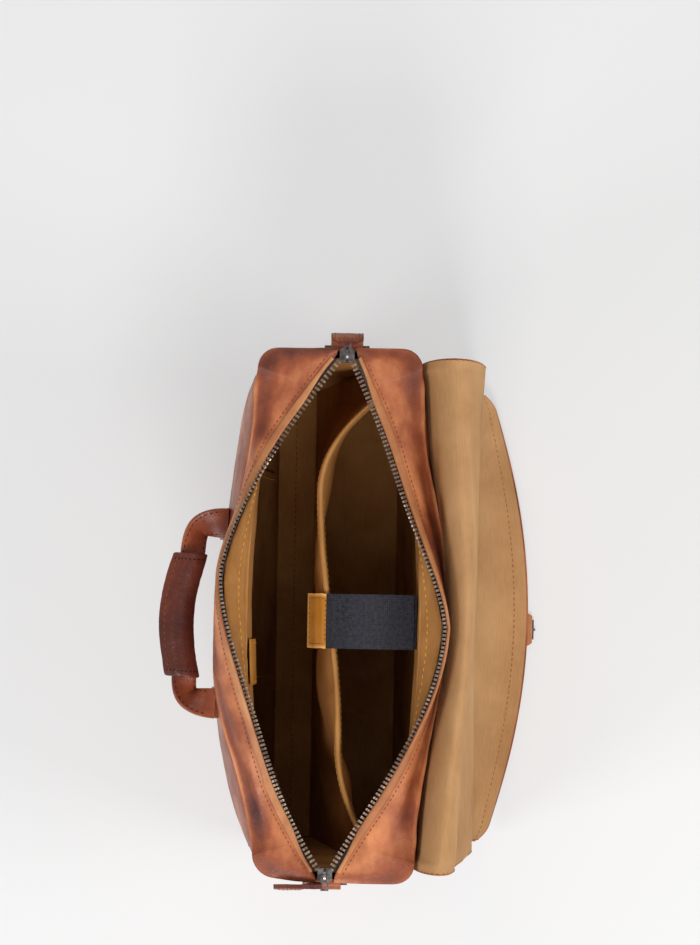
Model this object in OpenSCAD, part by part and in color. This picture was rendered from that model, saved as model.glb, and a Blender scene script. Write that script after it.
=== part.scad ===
// Leather briefcase standing open: swollen panels, a spread two-way zip,
// a padded divider with its webbing strap, a full flap thrown back behind the bag,
// and a rolled handle on the front panel.
// X runs along the mouth, -Y is the handle side, +Z is up, the base rests on z = 0.

/* [Body] */
// Length of the bag along its mouth
bag_length = 396; // [350:1:430]
// Depth of the bag at its two ends
bag_depth = 123; // [114:1:134]
// Height of the bag at its two ends
bag_height = 290; // [260:1:320]
// Radius of the upright corners
corner_radius = 15; // [11:1:20]
// How far the front panel swells out
front_bulge = 30; // [22:1:32]
// How far the back panel swells out
back_bulge = 20; // [14:1:22]
// How far the front swelling sits towards the right end
bulge_shift = 24; // [0:1:30]
// How far the panel tops sink at the middle
ridge_drop = 12; // [4:1:16]
// Thickness of the outer leather
leather = 2.4; // [1.8:0.1:3]
// Thickness of the lining cloth
lining = 1; // [0.6:0.1:1.4]
// Thickness of the base stiffener
board = 3; // [2:0.2:4]

/* [Mouth and zip] */
// Distance from the middle of the bag to the open zip at the front
mouth_reach = 91; // [74:1:92]
// The same at the back
back_reach = 83; // [72:1:84]
// How far the two ends of the mouth lie off the middle, each its own way
mouth_lean = 5; // [0:0.5:6]
// How unevenly the two sides of the mouth spread
mouth_skew = 0.2; // [0:0.02:0.25]
// How far the zip stands above its ends at the middle
rim_rise = 24; // [14:1:30]
// How far the top strips bow out between panel and zip
strip_bow = 3; // [0:0.5:4]
// Distance between zip teeth
tooth_pitch = 3.4; // [3:0.1:5]
// Length of a zip tooth across the tape
tooth_reach = 4; // [3:0.1:5]
// Height of a zip tooth
tooth_height = 2.6; // [2:0.1:3]
// Thickness of the zip tape
tape = 0.6; // [0.4:0.1:0.8]
// Width of the zip tape under the leather
tape_width = 11; // [9:0.5:14]
// Bare tape between the teeth and the leather
tape_show = 3; // [2:0.2:5]
// Width of the pale folded edge along the zip
edge_band_width = 6; // [4:0.5:8]

/* [Inside] */
// Width left between the lining and the middle of the bag at the floor
floor_reach = 50; // [44:0.5:51]
// The same at the foot of the facing, at the middle of the mouth
facing_reach = 63; // [58:1:66]
// Thickness of the padded divider
divider_thickness = 5; // [3:0.5:8]
// How far the divider stops below the ends of the bag
divider_drop = 30; // [24:1:50]
// Width of the webbing strap
webbing_width = 41; // [30:1:50]
// Thickness of the webbing
webbing = 1.8; // [1.2:0.1:2.4]

/* [Flap] */
// How far the flap stops short of each end of the bag
flap_inset = 8.5; // [7:0.5:30]
// Height of the roll over its seam on the back panel
flap_rise = 56; // [50:1:64]
// How far the flap hangs behind the bag's middle
flap_reach = 99.5; // [98:0.5:110]
// How much further out the roll lies at its left end, and nearer at its right
flap_skew = 9; // [0:0.5:10]
// How far the tip of the flap reaches behind the bag's middle
flap_tip_reach = 164; // [156:1:176]
// How far the flap's free edge is cut back at its corners
flap_edge_curve = 32; // [20:1:40]
// Radius of the curl where the flap meets the ground
flap_curl = 34; // [26:1:38]

/* [Handle] */
// Distance between the two handle straps
handle_span = 137; // [125:1:150]
// Width of a handle strap
strap_width = 23; // [18:1:26]
// Thickness of a handle strap
strap_thickness = 3.4; // [2.6:0.2:4]
// Length of the rolled grip
grip_length = 94; // [86:1:100]
// Radius of the rolled grip
grip_radius = 9.5; // [7:0.5:10]
// How far the ends of the grip stand off the strap roots
handle_reach = 20.5; // [20:0.5:28]
// How far the handle sits below the ends of the bag
handle_drop = 44; // [36:1:60]

/* [Rings and pulls] */
// Width of a D-ring
ring_width = 34; // [30:1:40]
// Radius of the D-ring's wire
ring_wire = 1.9; // [1.5:0.1:2.2]
// How far the ring's bar sits below the ends of the bag
ring_drop = 52; // [48:1:60]
// Length of a zip pull's leather tab
pull_length = 34; // [28:1:36]
// Width of a zip pull's leather tab
pull_width = 24; // [18:1:28]

/* [Hidden] */

LEATHER = [0.62, 0.38, 0.26];
DARK_LEATHER = [0.42, 0.22, 0.15];
PALE_LEATHER = [0.80, 0.58, 0.38];
MUSTARD = [0.74, 0.50, 0.16];
TAN_CLOTH = [0.72, 0.56, 0.34];
WEBBING = [0.24, 0.24, 0.26];
TAPE_GREY = [0.30, 0.30, 0.32];
DARK_METAL = [0.36, 0.33, 0.31];
SILVER = [0.75, 0.75, 0.76];

// Clearance between pieces that lie on each other
seat = 0.2;
// Clearance between pieces that move on each other
run = 0.3;
half_length = bag_length / 2;
half_depth = bag_depth / 2;
seam_x = half_length - corner_radius;
wall_foot = leather + seat;
floor_z = leather + board + lining + 3 * seat;
zip_x = half_length - 5;
// Share of the zip that runs beside the swollen part of each panel
zip_share = 0.88;
tooth_n = -leather - seat - tape / 2;

function lerp(a, b, t) = a + (b - a) * t;
function unit_step(t) = let (c = min(1, max(0, t))) c * c * (3 - 2 * c);
function spread(n) = [for (i = [0 : n]) i / n];
function unit(v) = v / norm(v);

// ---- closed sheet between two grids of points that match row by row ----
module sheet(upper, lower) {
    rows = len(upper);
    cols = len(upper[0]);
    count = rows * cols;
    points = concat([for (r = upper) each r], [for (r = lower) each r]);
    function at(i, j) = i * cols + j;
    function under(i, j) = count + i * cols + j;
    faces = concat(
        [for (i = [0 : rows - 2], j = [0 : cols - 2]) each [
            [at(i, j), at(i, j + 1), at(i + 1, j + 1)],
            [at(i, j), at(i + 1, j + 1), at(i + 1, j)],
            [under(i, j), under(i + 1, j + 1), under(i, j + 1)],
            [under(i, j), under(i + 1, j), under(i + 1, j + 1)]]],
        [for (i = [0 : rows - 2]) each [
            [at(i, 0), at(i + 1, 0), under(i + 1, 0)],
            [at(i, 0), under(i + 1, 0), under(i, 0)],
            [at(i, cols - 1), under(i + 1, cols - 1), at(i + 1, cols - 1)],
            [at(i, cols - 1), under(i, cols - 1), under(i + 1, cols - 1)]]],
        [for (j = [0 : cols - 2]) each [
            [at(0, j), under(0, j + 1), at(0, j + 1)],
            [at(0, j), under(0, j), under(0, j + 1)],
            [at(rows - 1, j), at(rows - 1, j + 1), under(rows - 1, j + 1)],
            [at(rows - 1, j), under(rows - 1, j + 1), under(rows - 1, j)]]]);
    polyhedron(points, faces);
}

// Tube swept through rings of points, closed with a flat cap at each end
module tube(rings) {
    sides = len(rings[0]);
    last = (len(rings) - 1) * sides;
    points = [for (r = rings) each r];
    walls = [for (i = [0 : len(rings) - 2], j = [0 : sides - 1]) each [
        [i * sides + j, i * sides + (j + 1) % sides, (i + 1) * sides + (j + 1) % sides],
        [i * sides + j, (i + 1) * sides + (j + 1) % sides, (i + 1) * sides + j]]];
    first_cap = [for (j = [1 : sides - 2]) [0, j + 1, j]];
    last_cap = [for (j = [1 : sides - 2]) [last, last + j, last + j + 1]];
    polyhedron(points, concat(walls, first_cap, last_cap));
}

// ---- shape of the bag ----
// Every shape of the two sides takes side: 1 for the front, -1 for the back.
// Swell of a panel along the bag, 0 at its end seams and 1 at its fullest
function along(x, side) = let (c = side > 0 ? x - bulge_shift * (1 - pow(x / seam_x, 2)) : x)
    max(0, 1 - pow(c / seam_x, 2));
function swell(x, side) = pow(along(x, side), 0.55);
// Swell of the top fold, which runs straighter than the belly below it
function fold_swell(x, side) = pow(along(x, side), 3);
// Swell of a panel up its height, fullest a little below the top fold
function fullness(v) = sin(112 * v) / sin(112);
function bulge(side) = side > 0 ? front_bulge : back_bulge;
function ridge_z(x, side) = bag_height - ridge_drop * swell(x, side);
function wall_y(x, v, side) = half_depth
    + bulge(side) * lerp(swell(x, side) * fullness(v), fold_swell(x, side), pow(v, 6));
function wall_y_at(x, z, side) = wall_y(x, (z - wall_foot) / (ridge_z(x, side) - wall_foot), side);
function panel_point(x, v, inset, side) =
    [x, -(wall_y(x, v, side) - inset), lerp(wall_foot, ridge_z(x, side), v)];

module panel(side) {
    xs = [for (t = spread(24)) seam_x * sin(180 * t - 90)];
    vs = [for (t = spread(9)) 1 - pow(1 - t, 1.4)];
    sheet([for (x = xs) [for (v = vs) panel_point(x, v, 0, side)]],
          [for (x = xs) [for (v = vs) panel_point(x, v, leather, side)]]);
}

module body_outline(inset) {
    r = corner_radius - inset;
    for (sx = [-1, 1], sy = [-1, 1])
        translate([sx * seam_x, sy * (half_depth - corner_radius)]) circle(r, $fn = 64);
    square([2 * seam_x, bag_depth - 2 * inset], center = true);
    square([bag_length - 2 * inset, bag_depth - 2 * corner_radius], center = true);
}

// Gusset wall, with the notch in its top through which the slider leaves the bag
module gusset(notch_y) {
    difference() {
        translate([0, 0, wall_foot]) linear_extrude(bag_height - wall_foot) intersection() {
            difference() {
                body_outline(0);
                body_outline(leather);
            }
            translate([seam_x + seat, -bag_depth]) square([bag_length, 2 * bag_depth]);
        }
        translate([half_length - 2 * leather, notch_y - slider_width / 2 - notch_room, notch_z])
            cube([3 * leather, slider_width + 2 * notch_room, bag_height]);
    }
}

module base_panel() {
    color(LEATHER) linear_extrude(leather) body_outline(0);
}

module base_board() {
    color("tan") translate([0, 0, leather + seat]) linear_extrude(board) body_outline(leather + 2 * seat);
}

// ---- zip line: u runs from -1 at the left end to 1 at the right end ----
rim_q = tooth_reach / 2 + 0.4;
// Where along the mouth each side begins to draw in from its widest place
front_peak = 0.18;
back_peak = 0.05;
function draw_in(u, peak) = pow(max(0, sin(180 * (u + peak) / (1 + peak))), 1.3);
function mouth_q(u, side) = rim_q + ((side > 0 ? mouth_reach : back_reach) - rim_q)
    * pow(cos(90 * u), side > 0 ? 1 : 1.15)
    * (1 - mouth_skew * draw_in(u * side, side > 0 ? front_peak : back_peak));
// Middle line of the mouth, which leans across the bag
function mouth_y(u) = -mouth_lean * u * abs(u);
function zip_q(u, side) = mouth_q(u, side) - side * mouth_y(u);
function zip_z(u) = bag_height + leather + seat + rim_rise * pow(cos(90 * u), 2);
function ridge_x(u) = min(seam_x, max(-seam_x, u * seam_x / zip_share));
function ridge_point(x, side) = [x, -wall_y(x, 1, side),
    ridge_z(x, side) + seat + leather * (1 - 0.5 * fold_swell(x, side))];
function tilt(u, side) = let (r = ridge_point(ridge_x(u), side))
    atan2(zip_z(u) - r[2], -r[1] - zip_q(u, side));
// Point beside the zip: s across the tape away from the teeth, n above the leather
function zip_point(u, s, n, side) = let (a = tilt(u, side)) [
    u * zip_x,
    -(zip_q(u, side) + s * cos(a) + n * sin(a)),
    zip_z(u) - s * sin(a) + n * cos(a)];
function zip_normal(u, side) = let (a = tilt(u, side)) [0, -sin(a), cos(a)];

// Rows of the top strip: each pairs a place on the zip with one on the bag's outline
END_STEPS = [0, 1 / 3, 2 / 3, 1];
CORNER_STEPS = [30, 60];
ROW_COUNT = 22;
zip_end_gap = 1 - zip_share;
strip_start = tape_show + tooth_reach;
function end_rows(sx, side) = concat(
    [for (t = END_STEPS) [sx * (1 - zip_end_gap * 0.55 * t),
        [sx * half_length,
            -lerp(strip_start - side * mouth_y(sx), half_depth - corner_radius, t),
            bag_height + seat + leather]]],
    [for (a = CORNER_STEPS) [sx * (1 - zip_end_gap * (0.55 + 0.4 * a / 90)),
        [sx * (seam_x + corner_radius * cos(a)),
            -(half_depth - corner_radius + corner_radius * sin(a)), bag_height + seat + leather]]]);
function front_rows(side) = [for (t = spread(ROW_COUNT)) let (x = seam_x * sin(180 * t - 90))
    [x / seam_x * zip_share, ridge_point(x, side)]];
function backwards(list) = [for (i = [len(list) - 1 : -1 : 0]) list[i]];
function strip_rows(side) =
    concat(end_rows(-1, side), front_rows(side), backwards(end_rows(1, side)));

function bow(side) = side > 0 ? strip_bow : strip_bow / 3;
function strip_point(row, w, n, side) = let (
    inner = zip_point(row[0], tape_show + tooth_reach / 2, 0, side),
    across = row[1] - inner)
    inner + across * w + (bow(side) * sin(180 * w) + n) * zip_normal(row[0], side);
function strip_width(row, side) =
    norm(row[1] - zip_point(row[0], tape_show + tooth_reach / 2, 0, side));

module top_strip(side) {
    ws = spread(5);
    sheet([for (row = strip_rows(side)) [for (w = ws) strip_point(row, w, -leather, side)]],
          [for (row = strip_rows(side)) [for (w = ws) strip_point(row, w, 0, side)]]);
}

module edge_band(side) {
    rows = [for (row = strip_rows(side)) if (abs(row[0]) < 0.97) row];
    function share(row) = min(0.6, edge_band_width / strip_width(row, side));
    band = [0, 0.5, 1];
    sheet([for (row = rows) [for (b = band) strip_point(row, b * share(row), 2.5 * seat, side)]],
          [for (row = rows) [for (b = band) strip_point(row, b * share(row), 2.5 * seat + 0.9, side)]]);
}

module zip_tape(side) {
    us = [for (row = strip_rows(side)) row[0] * 0.985];
    ss = [tooth_reach / 2 + 3 * seat, tooth_reach / 2 + tape_width];
    top = -leather - 3.5 * seat;
    sheet([for (u = us) [for (s = ss) zip_point(u, s, top - tape, side)]],
          [for (u = us) [for (s = ss) zip_point(u, s, top, side)]]);
}

// Each tooth is a block across the edge of the tape with a raised nose towards the mouth
module zip_teeth(side) {
    steps = floor(2 * zip_x * 1.12 / tooth_pitch);
    us = [for (i = [0 : steps]) 0.975 * (2 * i / steps - 1)];
    du = 0.002;
    for (u = us) {
        here = zip_point(u, 0, tooth_n, side);
        ahead = zip_point(u + du, 0, tooth_n, side) - zip_point(u - du, 0, tooth_n, side);
        translate(here) rotate([0, 0, atan2(ahead[1], ahead[0])])
            rotate([tilt(u, side), 0, 0]) tooth();
    }
}

module tooth() {
    width = tooth_pitch * 0.5;
    nose = tooth_reach * 0.4;
    translate([-width / 2, -tooth_reach / 2, -tooth_height / 2])
        cube([width, tooth_reach - nose, tooth_height]);
    translate([-width / 2, tooth_reach / 2 - nose, -tooth_height / 4])
        cube([width, nose, tooth_height / 2]);
}

// Slider: two plates joined by a post, with the bridge that holds the pull
slider_length = 11;
slider_width = 11;
slider_plate = 1.3;
bridge_wire = 0.9;
link_wire = 0.7;
link_length = 11;
link_width = 6;
slider_x = zip_x;
slider_z = zip_z(1) + tooth_n;
plate_gap = tooth_height + 2 * run;
notch_room = 2.5;
notch_z = slider_z - plate_gap / 2 - slider_plate - 2 * run;
// Height of the pull's pivot: its wire clears the plate and the bridge
bridge_z = slider_z + plate_gap / 2 + slider_plate + link_wire * sqrt(2) + run;
module slider() {
    for (sz = [-1, 1])
        translate([0, 0, sz * (plate_gap + slider_plate) / 2 - slider_plate / 2])
            linear_extrude(slider_plate) slider_plate_outline();
    translate([slider_length / 2 - 1.6, 0, -plate_gap / 2 - 0.1])
        cylinder(h = plate_gap + 0.2, r = 1.2, $fn = 32);
    translate([0, -bridge_wire, plate_gap / 2 + slider_plate - 0.1]) slider_bridge();
}
module slider_plate_outline() {
    intersection() {
        square([slider_length, slider_width], center = true);
        translate([-slider_length * 0.18, 0]) circle(slider_length * 0.68, $fn = 48);
    }
}
bridge_r = link_wire + link_width / 2 + 2 * bridge_wire - run;
module slider_bridge() {
    rotate([90, 0, 0]) mirror([0, 0, 1]) linear_extrude(2 * bridge_wire) difference() {
        circle(bridge_r, $fn = 48);
        circle(bridge_r - 2 * bridge_wire + 0.1, $fn = 48);
        translate([-bridge_r - 1, -2 * bridge_r]) square([2 * bridge_r + 2, 2 * bridge_r]);
    }
}

// Pull: a wire link through the slider's bridge, drawn from its pivot along +X
module pull_link() {
    inner = link_length - 3 * link_wire;
    translate([-link_wire, 0, -link_wire]) linear_extrude(2 * link_wire) difference() {
        translate([0, -link_width / 2]) square([link_length + link_wire, link_width]);
        translate([2 * link_wire, 2 * link_wire - link_width / 2])
            square([inner, link_width - 4 * link_wire]);
    }
}

// Leather tab of a pull: six-sided, widest at its middle, drawn from its root along +X
tab_leather = 2.6;
module pull_tab() {
    mid = pull_width / 2;
    linear_extrude(tab_leather, center = true) polygon([
        [0, -pull_width * 0.28], [pull_length * 0.36, -mid], [pull_length * 0.62, -mid],
        [pull_length, -pull_width * 0.2], [pull_length, pull_width * 0.2],
        [pull_length * 0.62, mid], [pull_length * 0.36, mid], [0, pull_width * 0.28]]);
}
// The left pull lies out over the end of the bag with its tab hanging;
// the right one lies sideways along the top of the end, its tab on edge
left_hang = 80;
right_droop = 8;
module place_left_pull() {
    mirror([1, 0, 0]) translate([slider_x, mouth_y(-1), bridge_z]) children();
}
module place_left_tab() {
    place_left_pull() translate([link_length + run + tab_leather / 2, 0, link_wire])
        rotate([0, left_hang, 0]) children();
}
module place_right_pull() {
    translate([slider_x, mouth_y(1), bridge_z]) children();
}
module place_right_tab() {
    translate([half_length + seat + tab_leather / 2 + run, mouth_y(1) - link_width / 2 - run, bridge_z])
        rotate([90, right_droop, -88]) children();
}

// ---- rings at the ends ----
ring_z = bag_height - ring_drop;
loop_leather = 3.4;
loop_width = ring_width - 4 * ring_wire - 2;
ring_fit = 0.08;
ring_x = half_length + seat + loop_leather + ring_wire + ring_fit;
ring_depth = ring_width * 0.62;
module ring_loop(ring_y) {
    inner = ring_wire + ring_fit;
    outer = inner + loop_leather;
    translate([ring_x, ring_y + loop_width / 2, ring_z]) rotate([90, 0, 0]) linear_extrude(loop_width)
        difference() {
            union() {
                circle(outer, $fn = 64);
                translate([-outer, -24]) square([loop_leather, 24]);
            }
            circle(inner, $fn = 64);
        }
}
module d_ring(ring_y) {
    arc_r = ring_width / 2 - ring_wire;
    translate([ring_x, ring_y, ring_z]) {
        rotate([90, 0, 0]) cylinder(h = ring_width, r = ring_wire, center = true, $fn = 32);
        translate([0, 0, -(ring_depth - ring_width / 2)])
            rotate([0, 90, 0]) rotate([0, 0, -90]) rotate_extrude(angle = 180, $fn = 64)
                translate([arc_r, 0]) circle(ring_wire, $fn = 32);
        for (sy = [-1, 1]) translate([0, sy * arc_r, -(ring_depth - ring_width / 2)])
            cylinder(h = ring_depth - ring_width / 2, r = ring_wire, $fn = 32);
    }
}

// ---- inside of the bag ----
facing_lap = 3;
lining_x = half_length - 8;
function arch(u) = cos(90 * min(1, abs(u)));
function facing_foot_q(u) = lerp(floor_reach - 4, facing_reach, pow(arch(u), 0.8));
function facing_foot_z(u) = bag_height - 22 + 18 * pow(arch(u), 2);
function facing_top(u, n, side) =
    zip_point(u, tooth_reach / 2 + facing_lap, -leather - 8 * seat - tape + n, side);
function facing_point(u, w, n, side) = let (
    top = facing_top(u, n, side),
    foot = [u * zip_x, -facing_foot_q(u) - n, facing_foot_z(u) + seat + n])
    lerp(top, foot, w) + [0, 0, -2 * sin(180 * w)];
module facing(side) {
    us = [for (t = spread(20)) 0.955 * sin(180 * t - 90)];
    ws = spread(3);
    sheet([for (u = us) [for (w = ws) facing_point(u, w, -lining, side)]],
          [for (u = us) [for (w = ws) facing_point(u, w, 0, side)]]);
}

function lining_point(u, v, n) = [
    u * lining_x, -(lerp(floor_reach, facing_foot_q(u * lining_x / zip_x), pow(v, 1.2)) + n),
    lerp(floor_z, facing_foot_z(u * lining_x / zip_x) - lining, v)];
module wall_lining(first, last, low, high, inner, outer, columns, rows) {
    us = [for (t = spread(columns)) lerp(first, last, t)];
    vs = [for (t = spread(rows)) lerp(low, high, t)];
    sheet([for (u = us) [for (v = vs) lining_point(u, v, outer)]],
          [for (u = us) [for (v = vs) lining_point(u, v, inner)]]);
}

module end_lining() {
    translate([lining_x + 2 * seat, 0, floor_z + 0.5]) rotate([90, 0, 90]) linear_extrude(lining)
        hull() {
            square([2 * floor_reach, 1], center = true);
            translate([0, bag_height - floor_z - 24])
                square([2 * floor_reach - 4, 1], center = true);
            translate([0, bag_height - floor_z - 5.6]) square([30, 1], center = true);
        }
}

// Free top edge of the divider: a slack wave that runs back to the bag's rear at both ends
divider_foot_y = -17;
divider_top = bag_height - divider_drop;
function divider_end(u) = (u < 0 ? 34 : 15) * pow(max(0, abs(u) - 0.5) / 0.33, 2);
function divider_top_y(u) = min(floor_reach - 12,
    -5 + 8 * sin(90 * max(-1, min(1, u / 0.5))) + divider_end(u));
function divider_point(u, v, n) = [
    u * (lining_x - 1), lerp(divider_foot_y, divider_top_y(u), pow(v, 1.2)) + n,
    lerp(floor_z + seat, divider_top, v)];
module divider_sheet() {
    us = [for (t = spread(24)) lerp(-1, 1, t)];
    vs = spread(5);
    half = divider_thickness / 2;
    sheet([for (u = us) [for (v = vs) divider_point(u, v, -half)]],
          [for (u = us) [for (v = vs) divider_point(u, v, half)]]);
}
edge_r = divider_thickness / 2 + 0.7;
edge_z = divider_top + seat + edge_r;
module divider_roll() {
    us = [for (t = spread(24)) lerp(-0.995, 0.995, t)];
    tube([for (u = us) [for (a = [315 : -45 : 0])
        [u * (lining_x - 1), divider_top_y(u) + edge_r * cos(a), edge_z + edge_r * sin(a)]]]);
}

patch_drop = 24;
patch_width = 30;
patch_height = 16;
patch_cloth = 0.8;

// ---- laptop strap: webbing from the back lining, over the divider ----
strap_x = 4.5;
strap_root_z = bag_height - 22;
anchor_height = 16;
root_share = (strap_root_z - anchor_height - floor_z) / (facing_foot_z(0) - lining - floor_z);
strap_root_y = lerp(floor_reach, facing_reach, pow(root_share, 1.2)) - seat;
strap_end_y = divider_top_y(0) - edge_r + 1;
strap_rest_z = edge_z + edge_r + run;
hinge_gap = 2.4;
function strap_top(t) = [lerp(strap_root_y - hinge_gap, strap_end_y, t),
    lerp(strap_root_z, strap_rest_z, t) + 7 * sin(180 * t)];
module across(width) {
    translate([strap_x - width / 2, 0, 0]) rotate([90, 0, 90]) linear_extrude(width) children();
}
module webbing_profile() {
    path = [for (t = spread(12)) strap_top(t)];
    polygon(concat(path, [for (p = backwards(path)) p + [0, webbing]]));
}
module strap_tab_profile() {
    start = [strap_end_y - seat, strap_rest_z];
    polygon([start, start + [0, webbing + 0.8], start + [-4, webbing - 0.4],
        start + [-13, -13], start + [-14.6, -11.4] + [0.4, -3.4],
        start + [-12, -14.4], start + [-4.6, -2]]);
}

// ---- flap ----
flap_half = half_length - flap_inset;
flap_seam_drop = 32;
flap_seam_z = bag_height - flap_seam_drop;
shoulder_z = flap_seam_z + 4;
flap_fold_z = 131;
flap_splay = 12;
flap_fold_y = flap_reach + flap_splay;
flap_ease = 1;
crest_fullness = 19;
flap_lift = 6.6;
skin_gap = 0.1;
function flap_root_y(x) = wall_y_at(min(seam_x, abs(x)), flap_seam_z, -1) + lining + 2 * seat + skin_gap;
function roll_reach(x) = flap_reach - flap_skew * x / flap_half;
function bezier(p, t) = p[0] * pow(1 - t, 3) + p[1] * 3 * t * pow(1 - t, 2)
    + p[2] * 3 * t * t * (1 - t) + p[3] * pow(t, 3);
function roll_frame(x, t) = let (
    y = flap_root_y(x), lift = flap_rise * 1.24,
    p = [[y, flap_seam_z], [y + flap_ease, flap_seam_z + lift],
         [lerp(y, roll_reach(x), 0.4) + crest_fullness, flap_seam_z + lift + 8],
         [roll_reach(x), shoulder_z]],
    here = bezier(p, t), next = bezier(p, t + 0.01) - bezier(p, t - 0.01))
    [here, unit([-next[1], next[0]])];
// Shoulder down to the fold line
function drop_frame(x, t) = let (a = [roll_reach(x), shoulder_z], b = [flap_fold_y, flap_fold_z])
    [lerp(a, b, t), unit([a[1] - b[1], b[0] - a[0]])];
// Fold line down to the ground and out along it, by length
straight_end_z = flap_lift + flap_curl;
front_straight = flap_fold_z - 1 - straight_end_z;
front_curl_length = PI / 2 * flap_curl;
function front_frame(s) =
    s <= front_straight ? [[flap_fold_y + 4 * s / front_straight, flap_fold_z - 1 - s], [1, 0]] :
    let (a = min(90, (s - front_straight) / flap_curl * 180 / PI),
         flat = max(0, s - front_straight - front_curl_length))
    [[flap_fold_y + 4 + flap_curl * (1 - cos(a)) + flat, straight_end_z - flap_curl * sin(a)],
     [cos(a), sin(a)]];
// Length of the lower flap at x: arched free edge with rounded corners
flat_end = flap_tip_reach - flap_fold_y - 4 - flap_curl;
corner_cut = 8;
function front_length(x) = front_straight + front_curl_length + flat_end
    - flap_edge_curve * 1.1 * pow(x / flap_half, 2)
    - corner_cut * (1 - sqrt(max(0, 1 - pow(max(0, abs(x) - flap_half + corner_cut) / corner_cut, 2))));
function lay(x, frame, n) = [x, frame[0][0] + frame[1][0] * n, frame[0][1] + frame[1][1] * n];
flap_xs = [for (t = spread(18)) flap_half * sin(180 * t - 90)];
leather_layer = [-leather, 0];
lining_layer = [skin_gap, skin_gap + lining];

module roll_sheet(layer, first, last, steps) {
    ts = [for (t = spread(steps)) lerp(first, last, t)];
    sheet([for (x = flap_xs) [for (t = ts) lay(x, roll_frame(x, t), layer[1])]],
          [for (x = flap_xs) [for (t = ts) lay(x, roll_frame(x, t), layer[0])]]);
}
roll_cut = 0.5;
roll_gap = 0.006;
module flap_top_sheet(layer) {
    ts = [for (t = spread(6)) lerp(roll_cut + roll_gap, 0.995, t)];
    ds = [0.5, 1];
    function row(x, n) = concat([for (t = ts) lay(x, roll_frame(x, t), n)],
        [for (d = ds) lay(x, drop_frame(x, d), n)]);
    sheet([for (x = flap_xs) row(x, layer[1])], [for (x = flap_xs) row(x, layer[0])]);
}
module flap_front_sheet(layer) {
    stretch = concat([0, 0.25], [for (t = spread(6)) lerp(0.5, 1, t)]);
    sheet([for (x = flap_xs) [for (t = stretch) lay(x, front_frame(t * front_length(x)), layer[1])]],
          [for (x = flap_xs) [for (t = stretch) lay(x, front_frame(t * front_length(x)), layer[0])]]);
}

// Clasp on the flap's tip: leather tab, metal tongue along its end, and its stud
clasp_x = 9.4;
clasp_width = 28;
clasp_z = flap_lift - leather - seat;
clasp_leather = 2.2;
clasp_out = 4;
module clasp_tab_shape() {
    length = 20;
    translate([clasp_x, flap_tip_reach + clasp_out - length / 2, clasp_z - clasp_leather])
        linear_extrude(clasp_leather) intersection() {
            square([clasp_width, length], center = true);
            circle(norm([clasp_width, length]) / 2 - 2, $fn = 64);
        }
}

// ---- handle ----
handle_z = bag_height - handle_drop;
anchor_leather = 2.4;
anchor_gap = 2 * seat;
strap_inner_x = (handle_span - strap_width) / 2;
function strap_wall(side) = wall_y_at(side * strap_inner_x, handle_z, 1);
handle_root_y = (strap_wall(1) + strap_wall(-1)) / 2 + anchor_gap + anchor_leather + run;
// The handle leans with the swelling of the panel that carries it
handle_lean = atan((strap_wall(1) - strap_wall(-1)) / (2 * strap_inner_x));
module leaning() {
    translate([0, -handle_root_y, 0]) rotate([0, 0, -handle_lean])
        translate([0, handle_root_y, 0]) children();
}
grip_y = handle_root_y + handle_reach;
grip_arc = 7.6;
grip_sink = 2;
grip_shift = 3;
function grip_center(t) = [grip_shift + lerp(-grip_length / 2, grip_length / 2, t),
    -(grip_y + grip_arc * sin(180 * t)), handle_z - grip_sink * (1 + sin(180 * t))];
// Rolled grip section: a round roll with a flat sewn lip on its outer side
function grip_ring(t, r) = [for (a = [336 : -24 : 0]) let (
    lip = max(0, cos(a - 180)),
    reach = r * (1 + 0.4 * pow(lip, 6)))
    grip_center(t) + [0, reach * cos(a) * 1.16, r * sin(a) * 0.86 * (1 - 0.5 * pow(lip, 4))]];

// Strap from the panel, out, round and into the grip; side is -1 left or 1 right
strap_end_x = grip_length / 2 + 1;
function strap_route(t, side) = let (
    p = [[handle_span / 2, -handle_root_y], [handle_span / 2, -grip_y + 1],
         [handle_span / 2 - 2, -grip_y - 1], [strap_end_x + side * grip_shift, -grip_y - 1]],
    here = bezier(p, t))
    [here[0], here[1], handle_z - 1 - 7 * sin(180 * t) * t - grip_sink * t];
function strap_ring(t, side) = let (
    here = strap_route(t, side), ahead = strap_route(t + 0.02, side) - strap_route(t - 0.02, side),
    flat = unit([ahead[0], ahead[1], 0]), wide = [-flat[1], flat[0], 0],
    lean = 40 * sin(180 * t),
    across = wide * cos(lean) + [0, 0, sin(lean)], thick = unit(cross(ahead, across)),
    w = strap_width / 2 * (1 - 0.2 * t), h = strap_thickness / 2)
    [for (c = [[-w, -h], [w, -h], [w, h], [-w, h]])
        let (p = here + across * c[0] + thick * c[1]) [side * p[0], p[1], p[2]]];
module handle_strap(side) {
    rings = [for (t = spread(14)) strap_ring(t, side)];
    tube(side < 0 ? rings : [for (r = rings) backwards(r)]);
}
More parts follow.
